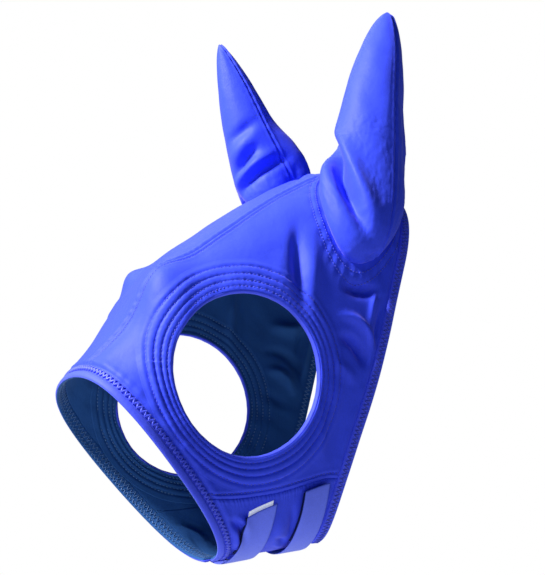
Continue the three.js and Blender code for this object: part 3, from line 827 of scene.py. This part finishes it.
def face_panel():
    """The face panel, from the left seam over the top to the right seam, and its lining."""
    u, phi = patch_grid(face_seam, lambda u: -face_seam(u), fine(330), fine(150))
    u, phi, keep = open_for_ears(u, phi, False)
    outer = hood(u, phi, cloth_top(u, phi))
    cloth = covering("face", hood(u, phi, UNDER_CLOTH), outer, False, keep=keep)
    u, phi = patch_grid(face_seam, lambda u: -face_seam(u), fine(200), fine(90))
    u, phi, keep = open_for_ears(u, phi, False)
    inner = hood(u, phi, -0.2 - 0.8 * np.maximum(lining_wrinkle(u, phi), -0.3))
    lining = covering("face", inner, hood(u, phi, LINING_LIFT), True, keep=keep)


def cheek_panel(base, side):
    """The cheek's cloth with its quilted ring, and the lining quilted to it along the same rows."""
    u, phi, out, angle = cheek_grid(side, fine(460), fine(72), fine(84))
    u, phi, keep = open_for_ears(u, phi, True)
    lift = ring_lift(out, angle)
    top = cloth_top(u, phi) + np.where(out < FAR, lift + ring_ripple(out, angle), 0)
    outer = hood(u, phi, top)
    rise = np.where(out < FAR, np.maximum(lift - 0.2, 0), 0)
    cloth = covering(f"{base}_cheek", hood(u, phi, UNDER_CLOTH + rise * 0.9), outer, False, True, keep)
    side_uv(cloth)
    u, phi, out, angle = cheek_grid(side, fine(340), fine(50), fine(60))
    u, phi, keep = open_for_ears(u, phi, True)
    d = np.abs(out[..., None] - ring_rows(angle)).min(-1)
    quilt = np.where(out < FAR, 0.9 * np.exp(-((d / 1.3) ** 2)) - 0.7 / (1 + np.exp((out - 24) / 2)), 0)
    inner = hood(u, phi, -0.3 + quilt - 0.9 * lining_wrinkle(u, phi))
    lining = covering(f"{base}_cheek", inner, hood(u, phi, LINING_LIFT), True, True, keep)
    side_uv(lining)


def eye_foam(base, side):
    """The foam under the quilted ring."""
    turn = np.linspace(0, 2 * math.pi, fine(240), endpoint=False)
    out = 1.4 + (ring_width(turn)[None] - 1.6) * np.linspace(0, 1, 14)[:, None]
    turn = np.broadcast_to(turn, out.shape)
    u, phi = eye_place(turn, out, side)
    thick = np.maximum(ring_lift(out, turn) * 0.85 - 0.3, 0.25)
    foam = sheet(f"{base}_eye_foam", hood(u, phi, 0.9), hood(u, phi, 0.95 + thick), FOAM, closed=True)
    piece(foam, "root", "foam", f"{base}_eye_pad")


def eye_binding(base, side):
    """The rolled binding round the eye opening."""
    turn = np.linspace(0, 2 * math.pi, fine(420), endpoint=False)
    section = np.linspace(0, 2 * math.pi, 20, endpoint=False)[:, None]
    wobble = 1 + 0.05 * np.sin(turn * 37 + np.sin(turn * 5)) + 0.05 * np.sin(turn * 11)
    top = CLOTH_HIGH + 0.8 * ring_lift(np.full_like(turn, 3.0), turn)
    across = 0.55 + 1.35 * np.cos(section) * wobble[None]
    squared = np.sign(np.sin(section)) * np.abs(np.sin(section)) ** 0.8
    up = (top - 1.2) / 2 + (top + 1.2) / 2 * squared
    u, phi = eye_place(np.broadcast_to(turn, across.shape), across, side)
    points = hood(u, phi, up)
    count = len(section) * len(turn)
    faces = grid_faces(len(section) + 1, len(turn), True) % count
    faces = outward(points.reshape(-1, 3), faces)
    binding = mesh(f"{base}_eye_binding_roll", points, faces, None, EDGE)
    piece(binding, "root", "royal_cloth", f"{base}_eye_binding")


def ring_stitches(base, side):
    """The quilting rows on the ring, outside and inside."""
    turn = np.linspace(0, 2 * math.pi, 480, endpoint=False)
    show, hide = [], []
    for k in range(4):
        u, phi = eye_place(turn, ring_rows(turn)[:, k], side)
        show.append((hood(u, phi, CLOTH_HIGH + RING_FLOORS[k + 1] + 0.05), normals(u, phi), True))
        hide.append((hood(u, phi, 0.0), -normals(u, phi), True))
    piece(stitches(f"{base}_ring_stitches", show, 3.1, 0.55, PAINTED_SHADE_THREAD, 0.42), "root", "royal_cloth")
    inside = stitches(f"{base}_ring_stitches_inside", hide, 3.1, 0.5, TEAL_THREAD, 0.4)
    piece(inside, "root", "dark_lining")


def jaw_panel(base, side):
    """The jaw's cloth and its lining, from the jaw seam to the slit under the jaw."""
    edges = (lambda u: side * jaw_seam(u), lambda u: side * HEM_SLIT + 0 * u)
    u, phi = patch_grid(*edges, fine(280), fine(76))
    outer = hood(u, phi, cloth_top(u, phi))
    cloth = covering(f"{base}_jaw", hood(u, phi, UNDER_CLOTH), outer, False)
    u, phi = patch_grid(*edges, fine(180), fine(50))
    inner = hood(u, phi, -0.2 - 0.9 * lining_wrinkle(u, phi))
    lining = covering(f"{base}_jaw", inner, hood(u, phi, LINING_LIFT), True)


face_panel()
for side_name, side in SIDES.items():
    cheek_panel(side_name, side)
    eye_foam(side_name, side)
    eye_binding(side_name, side)
    ring_stitches(side_name, side)
    jaw_panel(side_name, side)
    routes = seam_rows(side, FACE_ROW, face_seam) + seam_rows(side, -JAW_ROW, jaw_seam)
    made = stitches(f"{side_name}_seam_stitches", routes, material=PAINTED_SHADE_THREAD, **STITCH)
    piece(made, "root", "royal_cloth")


# ---- hems ----
HEM_PHIS = np.linspace(-HEM_SLIT, HEM_SLIT, fine(620))


def hem(name, u_of, profile, slot, material, node_name):
    """A strip along an open edge: profile gives its (distance from the edge, lower lift, upper lift)."""
    outs, lows, highs = (np.array(v, float)[:, None] for v in zip(*profile))
    u = np.stack([u_of(HEM_PHIS, out) for out in outs[:, 0]])
    phi = np.broadcast_to(HEM_PHIS, u.shape)
    outer = hood(u, phi, highs)
    made = sheet(name, hood(u, phi, lows), outer, material, arc_uv(outer))
    piece(made, "root", slot, node_name)


def folded_edge(*rest):
    """The outside of a hem: its rounded edge, then the rest of its profile as (distance, upper lift)."""
    return [(0.0, 0.9, 1.1)] + [(out, LINING_LIFT, high) for out, high in rest]


def band_edge(*rest):
    """The elastic band inside a hem: its edge, then the rest of its profile as (distance, lower lift)."""
    return [(0.0, 0.6, 0.9), (0.2, 0.0, 0.9)] + [(out, low, LINING_LIFT) for out, low in rest]


hem("nose_hem_cloth", nose_u,
    folded_edge((0.15, 1.75), (0.6, 2.35), (1.4, 2.7), (3.0, 2.8), (4.6, 2.7), (5.4, 2.35), (5.9, 1.5),
                (6.8, 1.3), (9.0, 1.4), (11.0, 1.3), (11.8, 1.2), (12.1, 1.1)),
    "royal_cloth", EDGE, "nose_hem")
hem("nose_elastic_band", nose_u,
    band_edge((0.8, -0.35), (3.0, -0.4), (6.0, -0.35), (10.0, -0.3), (11.6, -0.1), (12.1, 0.4)),
    "dark_lining", LINING, "nose_elastic")
hem("neck_hem_cloth", neck_u,
    folded_edge((0.15, 1.7), (0.6, 2.3), (1.4, 2.65), (3.0, 2.75), (5.0, 2.75), (7.0, 2.7), (8.2, 2.4),
                (8.8, 1.8), (9.1, 1.1)),
    "royal_cloth", EDGE, "neck_hem")
hem("neck_elastic_band", neck_u,
    band_edge((0.8, -0.35), (3.0, -0.4), (6.0, -0.35), (8.6, -0.1), (9.1, 0.4)),
    "dark_lining", LINING, "neck_elastic")


def hem_line(u_of, out, lift, sign):
    """A route along a hem, at a distance from the edge and a lift; sign is -1 for the inside."""
    phis = np.linspace(-HEM_SLIT * 0.995, HEM_SLIT * 0.995, 900)
    u = u_of(phis, out)
    return hood(u, phis, lift), sign * normals(u, phis)


def braid(name, u_of, out, lift, swing, pitch, radius, material, sign=1, strands=2):
    """Interleaved zigzag threads along a hem, as an overlock stitch leaves them."""
    path, up = hem_line(u_of, out, lift, sign)
    for k in range(strands):
        points, over = zigzag(path[k * 3:], up[k * 3:], pitch, swing if k % 2 == 0 else -swing)
        weave = np.where(np.arange(len(points)) % 2, 1, -1)[:, None] * over * 0.18
        points, over = rounded(points + weave * (1 if k else -1), over)
        made = tube(f"{name}_{k + 1}", points, over, radius, material, 0.75)
        piece(made, "root", "royal_cloth" if sign > 0 else "dark_lining")


braid("nose_braid", nose_u, 8.9, 2.0, 1.5, 4.2, 1.05, CORD)
braid("nose_zigzag_inside", nose_u, 8.0, -0.6, 2.4, 4.2, 0.36, TEAL_THREAD, -1, 1)
braid("nose_zigzag_inside_edge", nose_u, 3.2, -0.6, 1.6, 3.6, 0.32, TEAL_THREAD, -1, 1)
braid("neck_zigzag", neck_u, 5.2, 2.85, 2.4, 3.6, 0.55, PAINTED_SHADE_THREAD, 1, 2)
braid("neck_zigzag_inside", neck_u, 5.0, -0.6, 2.2, 3.8, 0.36, TEAL_THREAD, -1, 1)


# ---- ears ----
def ear_frame(side_name):
    """An ear's root, its axis and length, and the directions across it and towards its back."""
    root, tip = np.array(EAR_ROOT[side_name], float), np.array(EAR_TIP[side_name], float)
    axis = tip - root
    length = np.linalg.norm(axis)
    axis = axis / length
    across = unit(np.cross(np.array([0, 1.0, 0]), axis))
    return root, axis, length, across, np.cross(axis, across)


def ear_radius(s, side_name="left"):
    """Radius of an ear at a share of the way from its join to its tip."""
    power, fall = EAR_TAPER[side_name]
    return EAR_RADIUS * np.maximum(1 - s**power, 0.0) ** fall + 0.25


def hermite(p0, p1, t0, t1, t):
    """A smooth curve from p0 to p1 that leaves along t0 and arrives along t1."""
    return ((2 * t**3 - 3 * t**2 + 1) * p0 + (t**3 - 2 * t**2 + t) * t0
            + (3 * t**2 - 2 * t**3) * p1 + (t**3 - t**2) * t1)


def ear_base(side_name, bearing, scale, lift):
    """Points of the seam oval on the hood, at the given bearings round the ear."""
    side = SIDES[side_name]
    root, _, _, across, back = ear_frame(side_name)
    turn = np.linspace(0, 2 * math.pi, 721)
    u = EAR_U + EAR_U_RADIUS * np.cos(turn)
    phi = side * (EAR_PHI + EAR_PHI_RADIUS * np.sin(turn))
    out = bare(u, phi, CLOTH_HIGH + 0.4) - root
    found = np.unwrap(np.arctan2(out @ back, out @ across / EAR_DEPTH))
    if found[-1] < found[0]:
        found, turn = found[::-1], turn[::-1]
    found = np.maximum.accumulate(found)
    wanted = found[0] + np.mod(bearing - found[0], 2 * math.pi)
    at = np.interp(wanted, found, turn)
    u = EAR_U + EAR_U_RADIUS * scale * np.cos(at)
    phi = side * (EAR_PHI + EAR_PHI_RADIUS * scale * np.sin(at))
    return hood(u, phi, lift), normals(u, phi)


LOW_SHARE = 0.36
EAR_TAPER = {"left": (1.75, 0.57), "right": (1.5, 0.72)}
EAR_LEAN = {"left": 1.0, "right": 0.2}


def ear_surface(side_name, bearing, share):
    """Points of an ear pocket: share 0 is its seam on the hood and 1 its tip. Bearing 90 degrees is back."""
    root, axis, length, across, back = ear_frame(side_name)
    base, away = ear_base(side_name, bearing, 1.0, CLOTH_HIGH - 0.4)
    ring = (across * (EAR_DEPTH * np.cos(bearing))[..., None] + back * np.sin(bearing)[..., None])
    join = root + axis * EAR_JOIN + ring * EAR_RADIUS
    t = np.clip(share / LOW_SHARE, 0, 1)[..., None]
    reach = np.linalg.norm(join - base, axis=-1, keepdims=True)
    start = (away * 0.75 + axis * 0.35 + ring * 0.25) * reach * 0.95
    low = hermite(base, join, start, axis * reach * 0.9, t)
    s = np.clip((share - LOW_SHARE) / (1 - LOW_SHARE), 0, 1)
    lean = 0.17 * np.maximum(np.sin(bearing), 0) * np.clip(s / 0.3, 0, 1) * EAR_LEAN[side_name]
    radius = (ear_radius(s, side_name) * (1 - lean))[..., None]
    height = (EAR_JOIN + (length - EAR_JOIN) * s)[..., None]
    high = root + axis * height + ring * radius
    return np.where(share[..., None] < LOW_SHARE, low, high)


# Folds of the ear pockets as (bearing in degrees, share) places, width and height.
EAR_FOLDS = {
    "left": [
        ([(198, 0.48), (234, 0.40), (262, 0.315), (297, 0.215), (330, 0.125), (361, 0.08), (388, 0.075)],
         5.4, -15.0),
        ([(224, 0.50), (252, 0.43), (284, 0.335), (318, 0.24), (350, 0.16), (380, 0.12), (404, 0.115)],
         7.5, 4.5),
        ([(226, 0.30), (250, 0.21), (276, 0.12), (296, 0.06)], 5.5, 3.0),
        ([(262, 0.16), (286, 0.10), (304, 0.05)], 4.0, -1.6),
        ([(352, 0.045), (375, 0.03), (400, 0.04)], 3.5, -4.0),
        ([(404, 0.66), (408, 0.42), (420, 0.22)], 5.0, -1.6),
        ([(322, 0.62), (340, 0.46), (362, 0.32)], 9.0, -1.0),
        ([(460, 0.45), (455, 0.25), (440, 0.12)], 7.0, -2.4),
        ([(500, 0.42), (510, 0.22), (520, 0.10)], 7.0, 2.0),
        ([(215, 0.36), (210, 0.20), (200, 0.08)], 8.0, 1.8),
    ],
    "right": [
        ([(222, 0.30), (195, 0.17), (165, 0.10), (140, 0.09)], 6.0, -6.0),
        ([(205, 0.36), (180, 0.25), (150, 0.18), (120, 0.15)], 8.0, 3.0),
        ([(258, 0.60), (290, 0.60), (330, 0.62), (375, 0.645)], 5.5, -3.4),
        ([(245, 0.53), (280, 0.53), (320, 0.565), (365, 0.60)], 6.5, 2.4),
        ([(262, 0.455), (290, 0.475), (322, 0.515), (352, 0.535)], 4.6, -7.0),
        ([(240, 0.40), (285, 0.44), (330, 0.475), (385, 0.51)], 5.0, 3.6),
        ([(240, 0.355), (285, 0.40), (335, 0.44), (410, 0.475)], 4.6, -6.0),
        ([(66, 0.66), (68, 0.38), (70, 0.06)], 15.0, 11.0),
        ([(80, 0.45), (85, 0.25), (95, 0.12)], 7.0, -2.4),
        ([(40, 0.42), (30, 0.22), (20, 0.10)], 7.0, 2.0),
    ],
}
EAR_SEAMS = (15, 165)


def seam_drift(bearing, share):
    """The side seams of an ear run towards its back near its foot, by this many degrees."""
    return np.where(np.mod(bearing, 360) == EAR_SEAMS[0], 1, -1) * 26 * np.clip(1 - share / 0.6, 0, 1) ** 1.4


def ear_folds(side_name, points):
    """The heights of the ear's placed folds at some points of its smooth surface."""
    total = np.zeros(len(points))
    for places, width, height in EAR_FOLDS[side_name]:
        degrees, shares = through(places)
        route = ear_surface(side_name, np.radians(degrees), shares)
        total += crease(points, route, width, height)
    return total


def ear_outward(side_name, bearing, share):
    """Outward directions of the smooth ear pocket."""
    e = 1e-3
    db = ear_surface(side_name, bearing + e, share) - ear_surface(side_name, bearing - e, share)
    below, above = np.clip(share - 2 * e, 0, 1), np.clip(share + 2 * e, 0, 1)
    ds = ear_surface(side_name, bearing, above) - ear_surface(side_name, bearing, below)
    return unit(np.cross(db, ds))


SLUMP_TOP, SLUMP_HELD = 0.56, 0.46
SLUMP_PUSH = {"left": 0.4, "right": 7.0}
SLUMP_ROWS, SLUMP_COLUMNS, SLUMP_FRAMES, SLUMP_DOWN = 66, 100, 46, 30
SLUMP_CLOTH = {"quality": 6, "mass": 0.25, "tension_stiffness": 30, "compression_stiffness": 30,
               "shear_stiffness": 8, "bending_stiffness": 45, "tension_damping": 15,
               "compression_damping": 15, "shear_damping": 15, "air_damping": 3,
               "vertex_group_mass": "held"}


def slump_share(share):
    """1 where the simulated cloth is used and 0 above it."""
    return np.clip((SLUMP_TOP - share) / (SLUMP_TOP - SLUMP_HELD), 0, 1)


def slump(side_name):
    """Cloth simulation of the foot of an ear pocket, pushed down towards the hood until its slack settles.

    Returns a grid of offsets in millimetres from the smooth pocket, by share and bearing.
    """
    share = np.linspace(0, SLUMP_TOP, SLUMP_ROWS)[:, None] + np.zeros((1, SLUMP_COLUMNS))
    bearing = np.linspace(0, 2 * math.pi, SLUMP_COLUMNS, endpoint=False)[None] + np.zeros((SLUMP_ROWS, 1))
    smooth = ear_surface(side_name, bearing, share)
    away = ear_outward(side_name, bearing, share)
    folds = ear_folds(side_name, smooth.reshape(-1, 3)).reshape(share.shape)
    target = smooth + away * (folds * np.clip(share / 0.06, 0, 1))[..., None]
    axis = ear_frame(side_name)[1]
    rise = np.clip(share / SLUMP_HELD, 0, 1)
    start = target + axis * (SLUMP_PUSH[side_name] * rise * rise * (3 - 2 * rise))[..., None]
    seeds = np.random.default_rng(7)
    start = start + away * (seeds.normal(0, 0.15, share.shape) * (rise > 0) * (rise < 1))[..., None]
    cloth = mesh(f"{side_name}_ear_slump", start, grid_faces(SLUMP_ROWS, SLUMP_COLUMNS, True))
    cloth.shape_key_add(name="Basis")
    key = cloth.shape_key_add(name="down")
    key.data.foreach_set("co", (target.reshape(-1, 3) * 0.001).astype(np.float32).ravel())
    for value, at in ((0, 1), (1, SLUMP_DOWN)):
        key.value = value
        key.keyframe_insert("value", frame=at)
    held = cloth.vertex_groups.new(name="held")
    index = np.arange(share.size).reshape(share.shape)
    held.add(index[share <= 0.012].tolist(), 1.0, "REPLACE")
    for row in range(SLUMP_ROWS):
        grip = (share[row, 0] - SLUMP_HELD + 0.12) / 0.12
        if grip > 0:
            held.add(index[row].tolist(), min(grip, 1.0) ** 2, "REPLACE")
    settings = cloth.modifiers.new("cloth", "CLOTH").settings
    for key, value in SLUMP_CLOTH.items():
        setattr(settings, key, value)
    settings.effector_weights.gravity = 0.3
    scene = bpy.context.scene
    for frame_number in range(1, SLUMP_FRAMES + 1):
        scene.frame_set(frame_number)
    shape = cloth.evaluated_get(bpy.context.evaluated_depsgraph_get())
    made = shape.to_mesh()
    points = np.zeros(len(made.vertices) * 3)
    made.vertices.foreach_get("co", points)
    shape.to_mesh_clear()
    bpy.data.objects.remove(cloth)
    scene.frame_set(1)
    return (points.reshape(smooth.shape) * 1000 - smooth) * slump_share(share)[..., None]


def sample(offsets, share, bearing):
    """Smoothly reads the grid of offsets at shares and bearings."""
    row = np.clip(share / SLUMP_TOP * (SLUMP_ROWS - 1), 0, SLUMP_ROWS - 1.001)
    column = np.mod(bearing / (2 * math.pi), 1) * SLUMP_COLUMNS
    i, j = row.astype(int), column.astype(int)
    a, b = (row - i), (column - j)
    total = 0.0
    for k, wa in enumerate(cubic_weights(a)):
        for m, wb in enumerate(cubic_weights(b)):
            near = offsets[np.clip(i + k - 1, 0, SLUMP_ROWS - 1), (j + m - 1) % SLUMP_COLUMNS]
            total = total + near * (wa * wb)[..., None]
    return total * (share < SLUMP_TOP)[..., None]


def cubic_weights(t):
    """Weights of four neighbours for a smooth curve (a uniform cubic B-spline)."""
    return (1 - t) ** 3 / 6, (3 * t**3 - 6 * t**2 + 4) / 6, (-3 * t**3 + 3 * t**2 + 3 * t + 1) / 6, t**3 / 6


SLUMPS = {side_name: slump(side_name) for side_name in SIDES}


def ear_grid(side_name, start, stop, rows, columns):
    """The outer face of an ear pocket between two bearings, its outward directions and its shares."""
    share = np.linspace(0, 1, rows)[:, None] + np.zeros((1, columns))
    across = np.linspace(0, 1, columns)[None]
    start, stop = (value + seam_drift(value, share) for value in (start, stop))
    bearing = np.radians(start + (stop - start) * across)
    p = ear_surface(side_name, bearing, share)
    away = ear_outward(side_name, bearing, share)
    if side_name in SLUMPS:
        p = p + sample(SLUMPS[side_name], share, bearing)
        total = ear_folds(side_name, p.reshape(-1, 3)).reshape(share.shape) * (1 - slump_share(share))
    else:
        total = ear_folds(side_name, p.reshape(-1, 3)).reshape(share.shape)
    total += 0.3 * np.sin(bearing * 3 + share * 9 + 0.5) * np.sin(share * 17 + bearing * 2)
    total += 0.1 * np.sin(bearing * 8 + share * 25) * np.sin(share * 41 - bearing * 3)
    size = ear_radius(np.clip((share - LOW_SHARE) / (1 - LOW_SHARE), 0, 1))
    foot = np.clip(share / 0.06, 0, 1)
    total = total * (0.15 + 0.85 * foot) * np.clip(size / 14, 0, 1)
    for seam in EAR_SEAMS:
        off = np.degrees(bearing) - seam - seam_drift(seam, share)
        d = np.abs(np.mod(off + 180, 360) - 180) * math.pi / 180 * size
        pucker = 0.18 * np.sin(share * 150) * np.exp(-((d / 3.5) ** 2))
        total = total + bump_at(d, 0, 1.2, -1.1) + bump_at(d, 2.8, 1.6, 0.45) + pucker
    rise = share * 150
    total = total + bump_at(rise, 0, 1.5, -0.9) + bump_at(rise, 3.4, 2, 0.5)
    return p + away * total[..., None], away, share


def ear_cloth(side_name, part, start, stop, columns, *nodes):
    """The front or the back cloth of an ear. It bends from the hood to the ear's own body."""
    outer, away, share = ear_grid(side_name, start, stop, fine(230), fine(columns))
    radius = ear_radius(np.clip((share - LOW_SHARE) / (1 - LOW_SHARE), 0, 1))
    inner = outer - away * np.clip(radius - 0.2, 0.02, EAR_CLOTH)[..., None]
    ear = sheet(f"{side_name}_ear_{part}_cloth", inner, outer, ROYAL, arc_uv(outer))
    foot, _ = ear_base(side_name, np.radians(np.arange(0, 360, 3.0)), 1.0, CLOTH_HIGH)
    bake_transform(ear)
    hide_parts(*(f"{side_name}_{name}" for name in nodes))


def ear_stitches(side_name, side):
    """A double row of stitches round the foot of an ear, as far as the neck hem."""
    turn = np.linspace(0, 2 * math.pi, 400, endpoint=False)
    routes = []
    for row in EAR_ROWS:
        scale = 1 + row / EAR_OVAL
        u = EAR_U + EAR_U_RADIUS * scale * np.cos(turn)
        phi = side * (EAR_PHI + EAR_PHI_RADIUS * scale * np.sin(turn))
        keep = u < 0.972
        first = int(np.argmax(keep & ~np.roll(keep, 1)))
        order = np.roll(np.arange(len(turn)), -first)
        order = order[keep[order]]
        routes.append(on_cloth(u[order], phi[order]))
    made = stitches(f"{side_name}_ear_base_stitches", routes, material=PAINTED_SHADE_THREAD, **STITCH)
    piece(made, "root", "royal_cloth")


for side_name, side in SIDES.items():
    ear_cloth(side_name, "front", 165, 375, 170, "ear_front", "ear_collar")
    ear_cloth(side_name, "back", 15, 165, 130, "ear_back")
    ear_stitches(side_name, side)


# ---- jaw straps ----
def strap_slack(u, phi):
    """The part of the hood's folds that a strap on it follows."""
    return drape(u, phi) * settle(u, phi) * 0.3


def strip(name, y_range, start, stop, low, high, material, slot, body, node_name, rows=60,
          columns=24):
    """A flat tape on the jaw, with rounded edges; low and high may be functions of 0..1 along it."""
    t, w = np.linspace(0, 1, rows)[:, None], np.linspace(-1, 1, columns)[None]
    phi = np.linspace(start, stop, rows)[:, None] + 0 * w
    u = find_u(np.linspace(*y_range, columns)[None] + 0 * t, phi)
    under, over = (f(t) if callable(f) else f + 0 * t for f in (low, high))
    edge = np.maximum(1 - np.abs(w) ** 10, 0) ** 0.5 * np.maximum(1 - np.abs(2 * t - 1) ** 40, 0) ** 0.5
    middle, half = (under + over) / 2, (over - under) / 2 * edge
    slack = strap_slack(u, phi)
    outer = bare(u, phi, middle + half + slack)
    made = sheet(name, bare(u, phi, middle - half + slack), outer, material, arc_uv(outer))
    piece(made, body, slot, node_name)


def strap_low(t):
    return STRAP_LIFT + (SEWN_LIFT - STRAP_LIFT) * np.maximum(1 - t / 0.45, 0) + 0.15 * np.sin(9 * t)


def strap_high(t):
    return strap_low(t) + STRAP_CLOTH


def anchor_stitches(name, y_range):
    """A box with a cross in it, which sews the end of a strap to the jaw."""
    left, right = y_range[0] + 1.6, y_range[1] - 1.6
    start, stop = STRAP_SEWN + 0.03, STRAP_END - 0.03
    lines = [((left, right), (start, start)), ((right, right), (start, stop)), ((right, left), (stop, stop)),
             ((left, left), (stop, start)), ((left, right), (start, stop)), ((right, left), (start, stop))]
    routes = []
    for ys, phis in lines:
        phi = np.linspace(*phis, 40)
        u = find_u(np.linspace(*ys, 40), phi)
        top = bare(u, phi, SEWN_LIFT + STRAP_CLOTH + 0.1 + strap_slack(u, phi))
        routes.append((top, normals(u, phi), False))
    piece(stitches(f"{name}_anchor_stitches", routes, 2.6, 0.3, LIGHT_THREAD), "root", "strap_cloth")


for name, y_range in STRAP_Y.items():
    body = f"{name}_strap"
    strip(f"{name}_strap_cloth", y_range, STRAP_SEWN - 0.004, STRAP_TAB, strap_low, strap_high, STRAP,
          "strap_cloth", body, f"{name}_strap", 160, 40)
    strip(f"{name}_strap_anchor_cloth", y_range, STRAP_SEWN + 0.004, STRAP_END, SEWN_LIFT,
          SEWN_LIFT + STRAP_CLOTH, STRAP, "strap_cloth", "root", f"{name}_strap_anchor")
    strip(f"{name}_hook_tape", (y_range[0] + 1, y_range[1] - 1), STRAP_TAB + 0.02, STRAP_TAB + 0.3,
          CLOTH_HIGH + 1.8, STRAP_LIFT - 0.2, HOOKS, "hook_and_loop", body, f"{name}_hook_pad")
    strip(f"{name}_loop_tape", (y_range[0] + 0.8, y_range[1] - 0.8), STRAP_TAB + 0.02, STRAP_TAB + 0.5,
          CLOTH_HIGH + 0.1, CLOTH_HIGH + 1.5, LOOPS, "hook_and_loop", "root", f"{name}_loop_patch")
    anchor_stitches(name, y_range)
strip("label_cloth", (8, 28), STRAP_TAB - 0.018, STRAP_TAB + 0.05, SEWN_LIFT, SEWN_LIFT + 1.0, GLOWING_WHITE,
      "label_cloth", "root", "label", 16, 40)


# ---- room, light and camera ----
# The floor and the backdrop look pale, but little of their light falls on the mask.
floor_data = bpy.data.meshes.new("floor")
floor_data.from_pydata([(x, y, -0.75) for x, y in ((-6, -6), (6, -6), (6, 6), (-6, 6))], [], [(0, 1, 2, 3)])
floor = bpy.data.objects.new("floor", floor_data)
bpy.context.scene.collection.objects.link(floor)
pale, tree, bsdf = shader("floor", 0.9)
noise = node(tree, "ShaderNodeTexNoise", Scale=3.0)
shade = mixed(tree, (0.52, 0.55, 0.60), (0.56, 0.59, 0.63))
tree.links.new(noise.outputs["Fac"], shade.inputs["Factor"])
tree.links.new(shade.outputs["Result"], bsdf.inputs["Base Color"])
bsdf.inputs["Emission Color"].default_value = (0.88, 0.91, 0.96, 1)
glow = node(tree, "ShaderNodeMath", operation="MULTIPLY_ADD")
glow.inputs[1].default_value = 0.55
glow.inputs[2].default_value = 0.12
tree.links.new(node(tree, "ShaderNodeLightPath").outputs["Is Camera Ray"], glow.inputs[0])
tree.links.new(glow.outputs[0], bsdf.inputs["Emission Strength"])
floor_data.materials.append(pale)

world = bpy.context.scene.world or bpy.data.worlds.new("world")
bpy.context.scene.world = world
world.use_nodes = True
backdrop = world.node_tree.nodes["Background"]
backdrop.inputs["Color"].default_value = (1, 1, 1, 1)
backdrop.inputs["Strength"].default_value = 1.0
ambient = node(world.node_tree, "ShaderNodeBackground")
ambient.inputs["Color"].default_value = (0.02, 0.42, 1.0, 1)
ambient.inputs["Strength"].default_value = 0.09
seen = node(world.node_tree, "ShaderNodeLightPath")
either = node(world.node_tree, "ShaderNodeMixShader")
world.node_tree.links.new(seen.outputs["Is Camera Ray"], either.inputs["Fac"])
world.node_tree.links.new(ambient.outputs[0], either.inputs[1])
world.node_tree.links.new(backdrop.outputs[0], either.inputs[2])
world.node_tree.links.new(either.outputs[0], world.node_tree.nodes["World Output"].inputs["Surface"])

AZIMUTH, ELEVATION = math.radians(68), math.radians(-15)
BACK = Vector((math.cos(ELEVATION) * math.sin(AZIMUTH), -math.cos(ELEVATION) * math.cos(AZIMUTH),
               math.sin(ELEVATION)))
RIGHT = Vector((math.cos(AZIMUTH), math.sin(AZIMUTH), 0))
UP = BACK.cross(RIGHT)


def area_light(name, place, target, size, power, colour):
    data = bpy.data.lights.new(name, "AREA")
    data.shape = "DISK"
    data.size = size
    data.energy = power
    data.color = colour
    lamp = bpy.data.objects.new(name, data)
    lamp.location = place
    lamp.rotation_euler = (Vector(target) - Vector(place)).to_track_quat("-Z", "Y").to_euler()
    bpy.context.scene.collection.objects.link(lamp)
    return lamp


area_light("key", BACK * 1.0 - RIGHT * 1.55 + Vector((0, 0, 1.95)), (0, 0, 0.05), 0.42, 160, (1, 0.99, 0.97))
area_light("fill", BACK * 1.8 - RIGHT * 0.9 + Vector((0, 0, 0.3)), (0, 0, 0), 1.2, 1.2, (0.6, 0.75, 1))
area_light("rim", -BACK * 1.2 - RIGHT * 0.4 + Vector((0, 0, 1.4)), (0, 0, 0.1), 1.0, 5, (0.8, 0.85, 1))

camera_data = bpy.data.cameras.new("camera")
camera_data.lens = 70.1
camera_data.sensor_width = 36
camera = bpy.data.objects.new("camera", camera_data)
camera.location = BACK * 0.930 + RIGHT * 0.0495 + UP * 0.085
camera.rotation_euler = BACK.to_track_quat("Z", "Y").to_euler()
bpy.context.scene.collection.objects.link(camera)
bpy.context.scene.camera = camera
bpy.context.scene.view_settings.view_transform = "Standard"
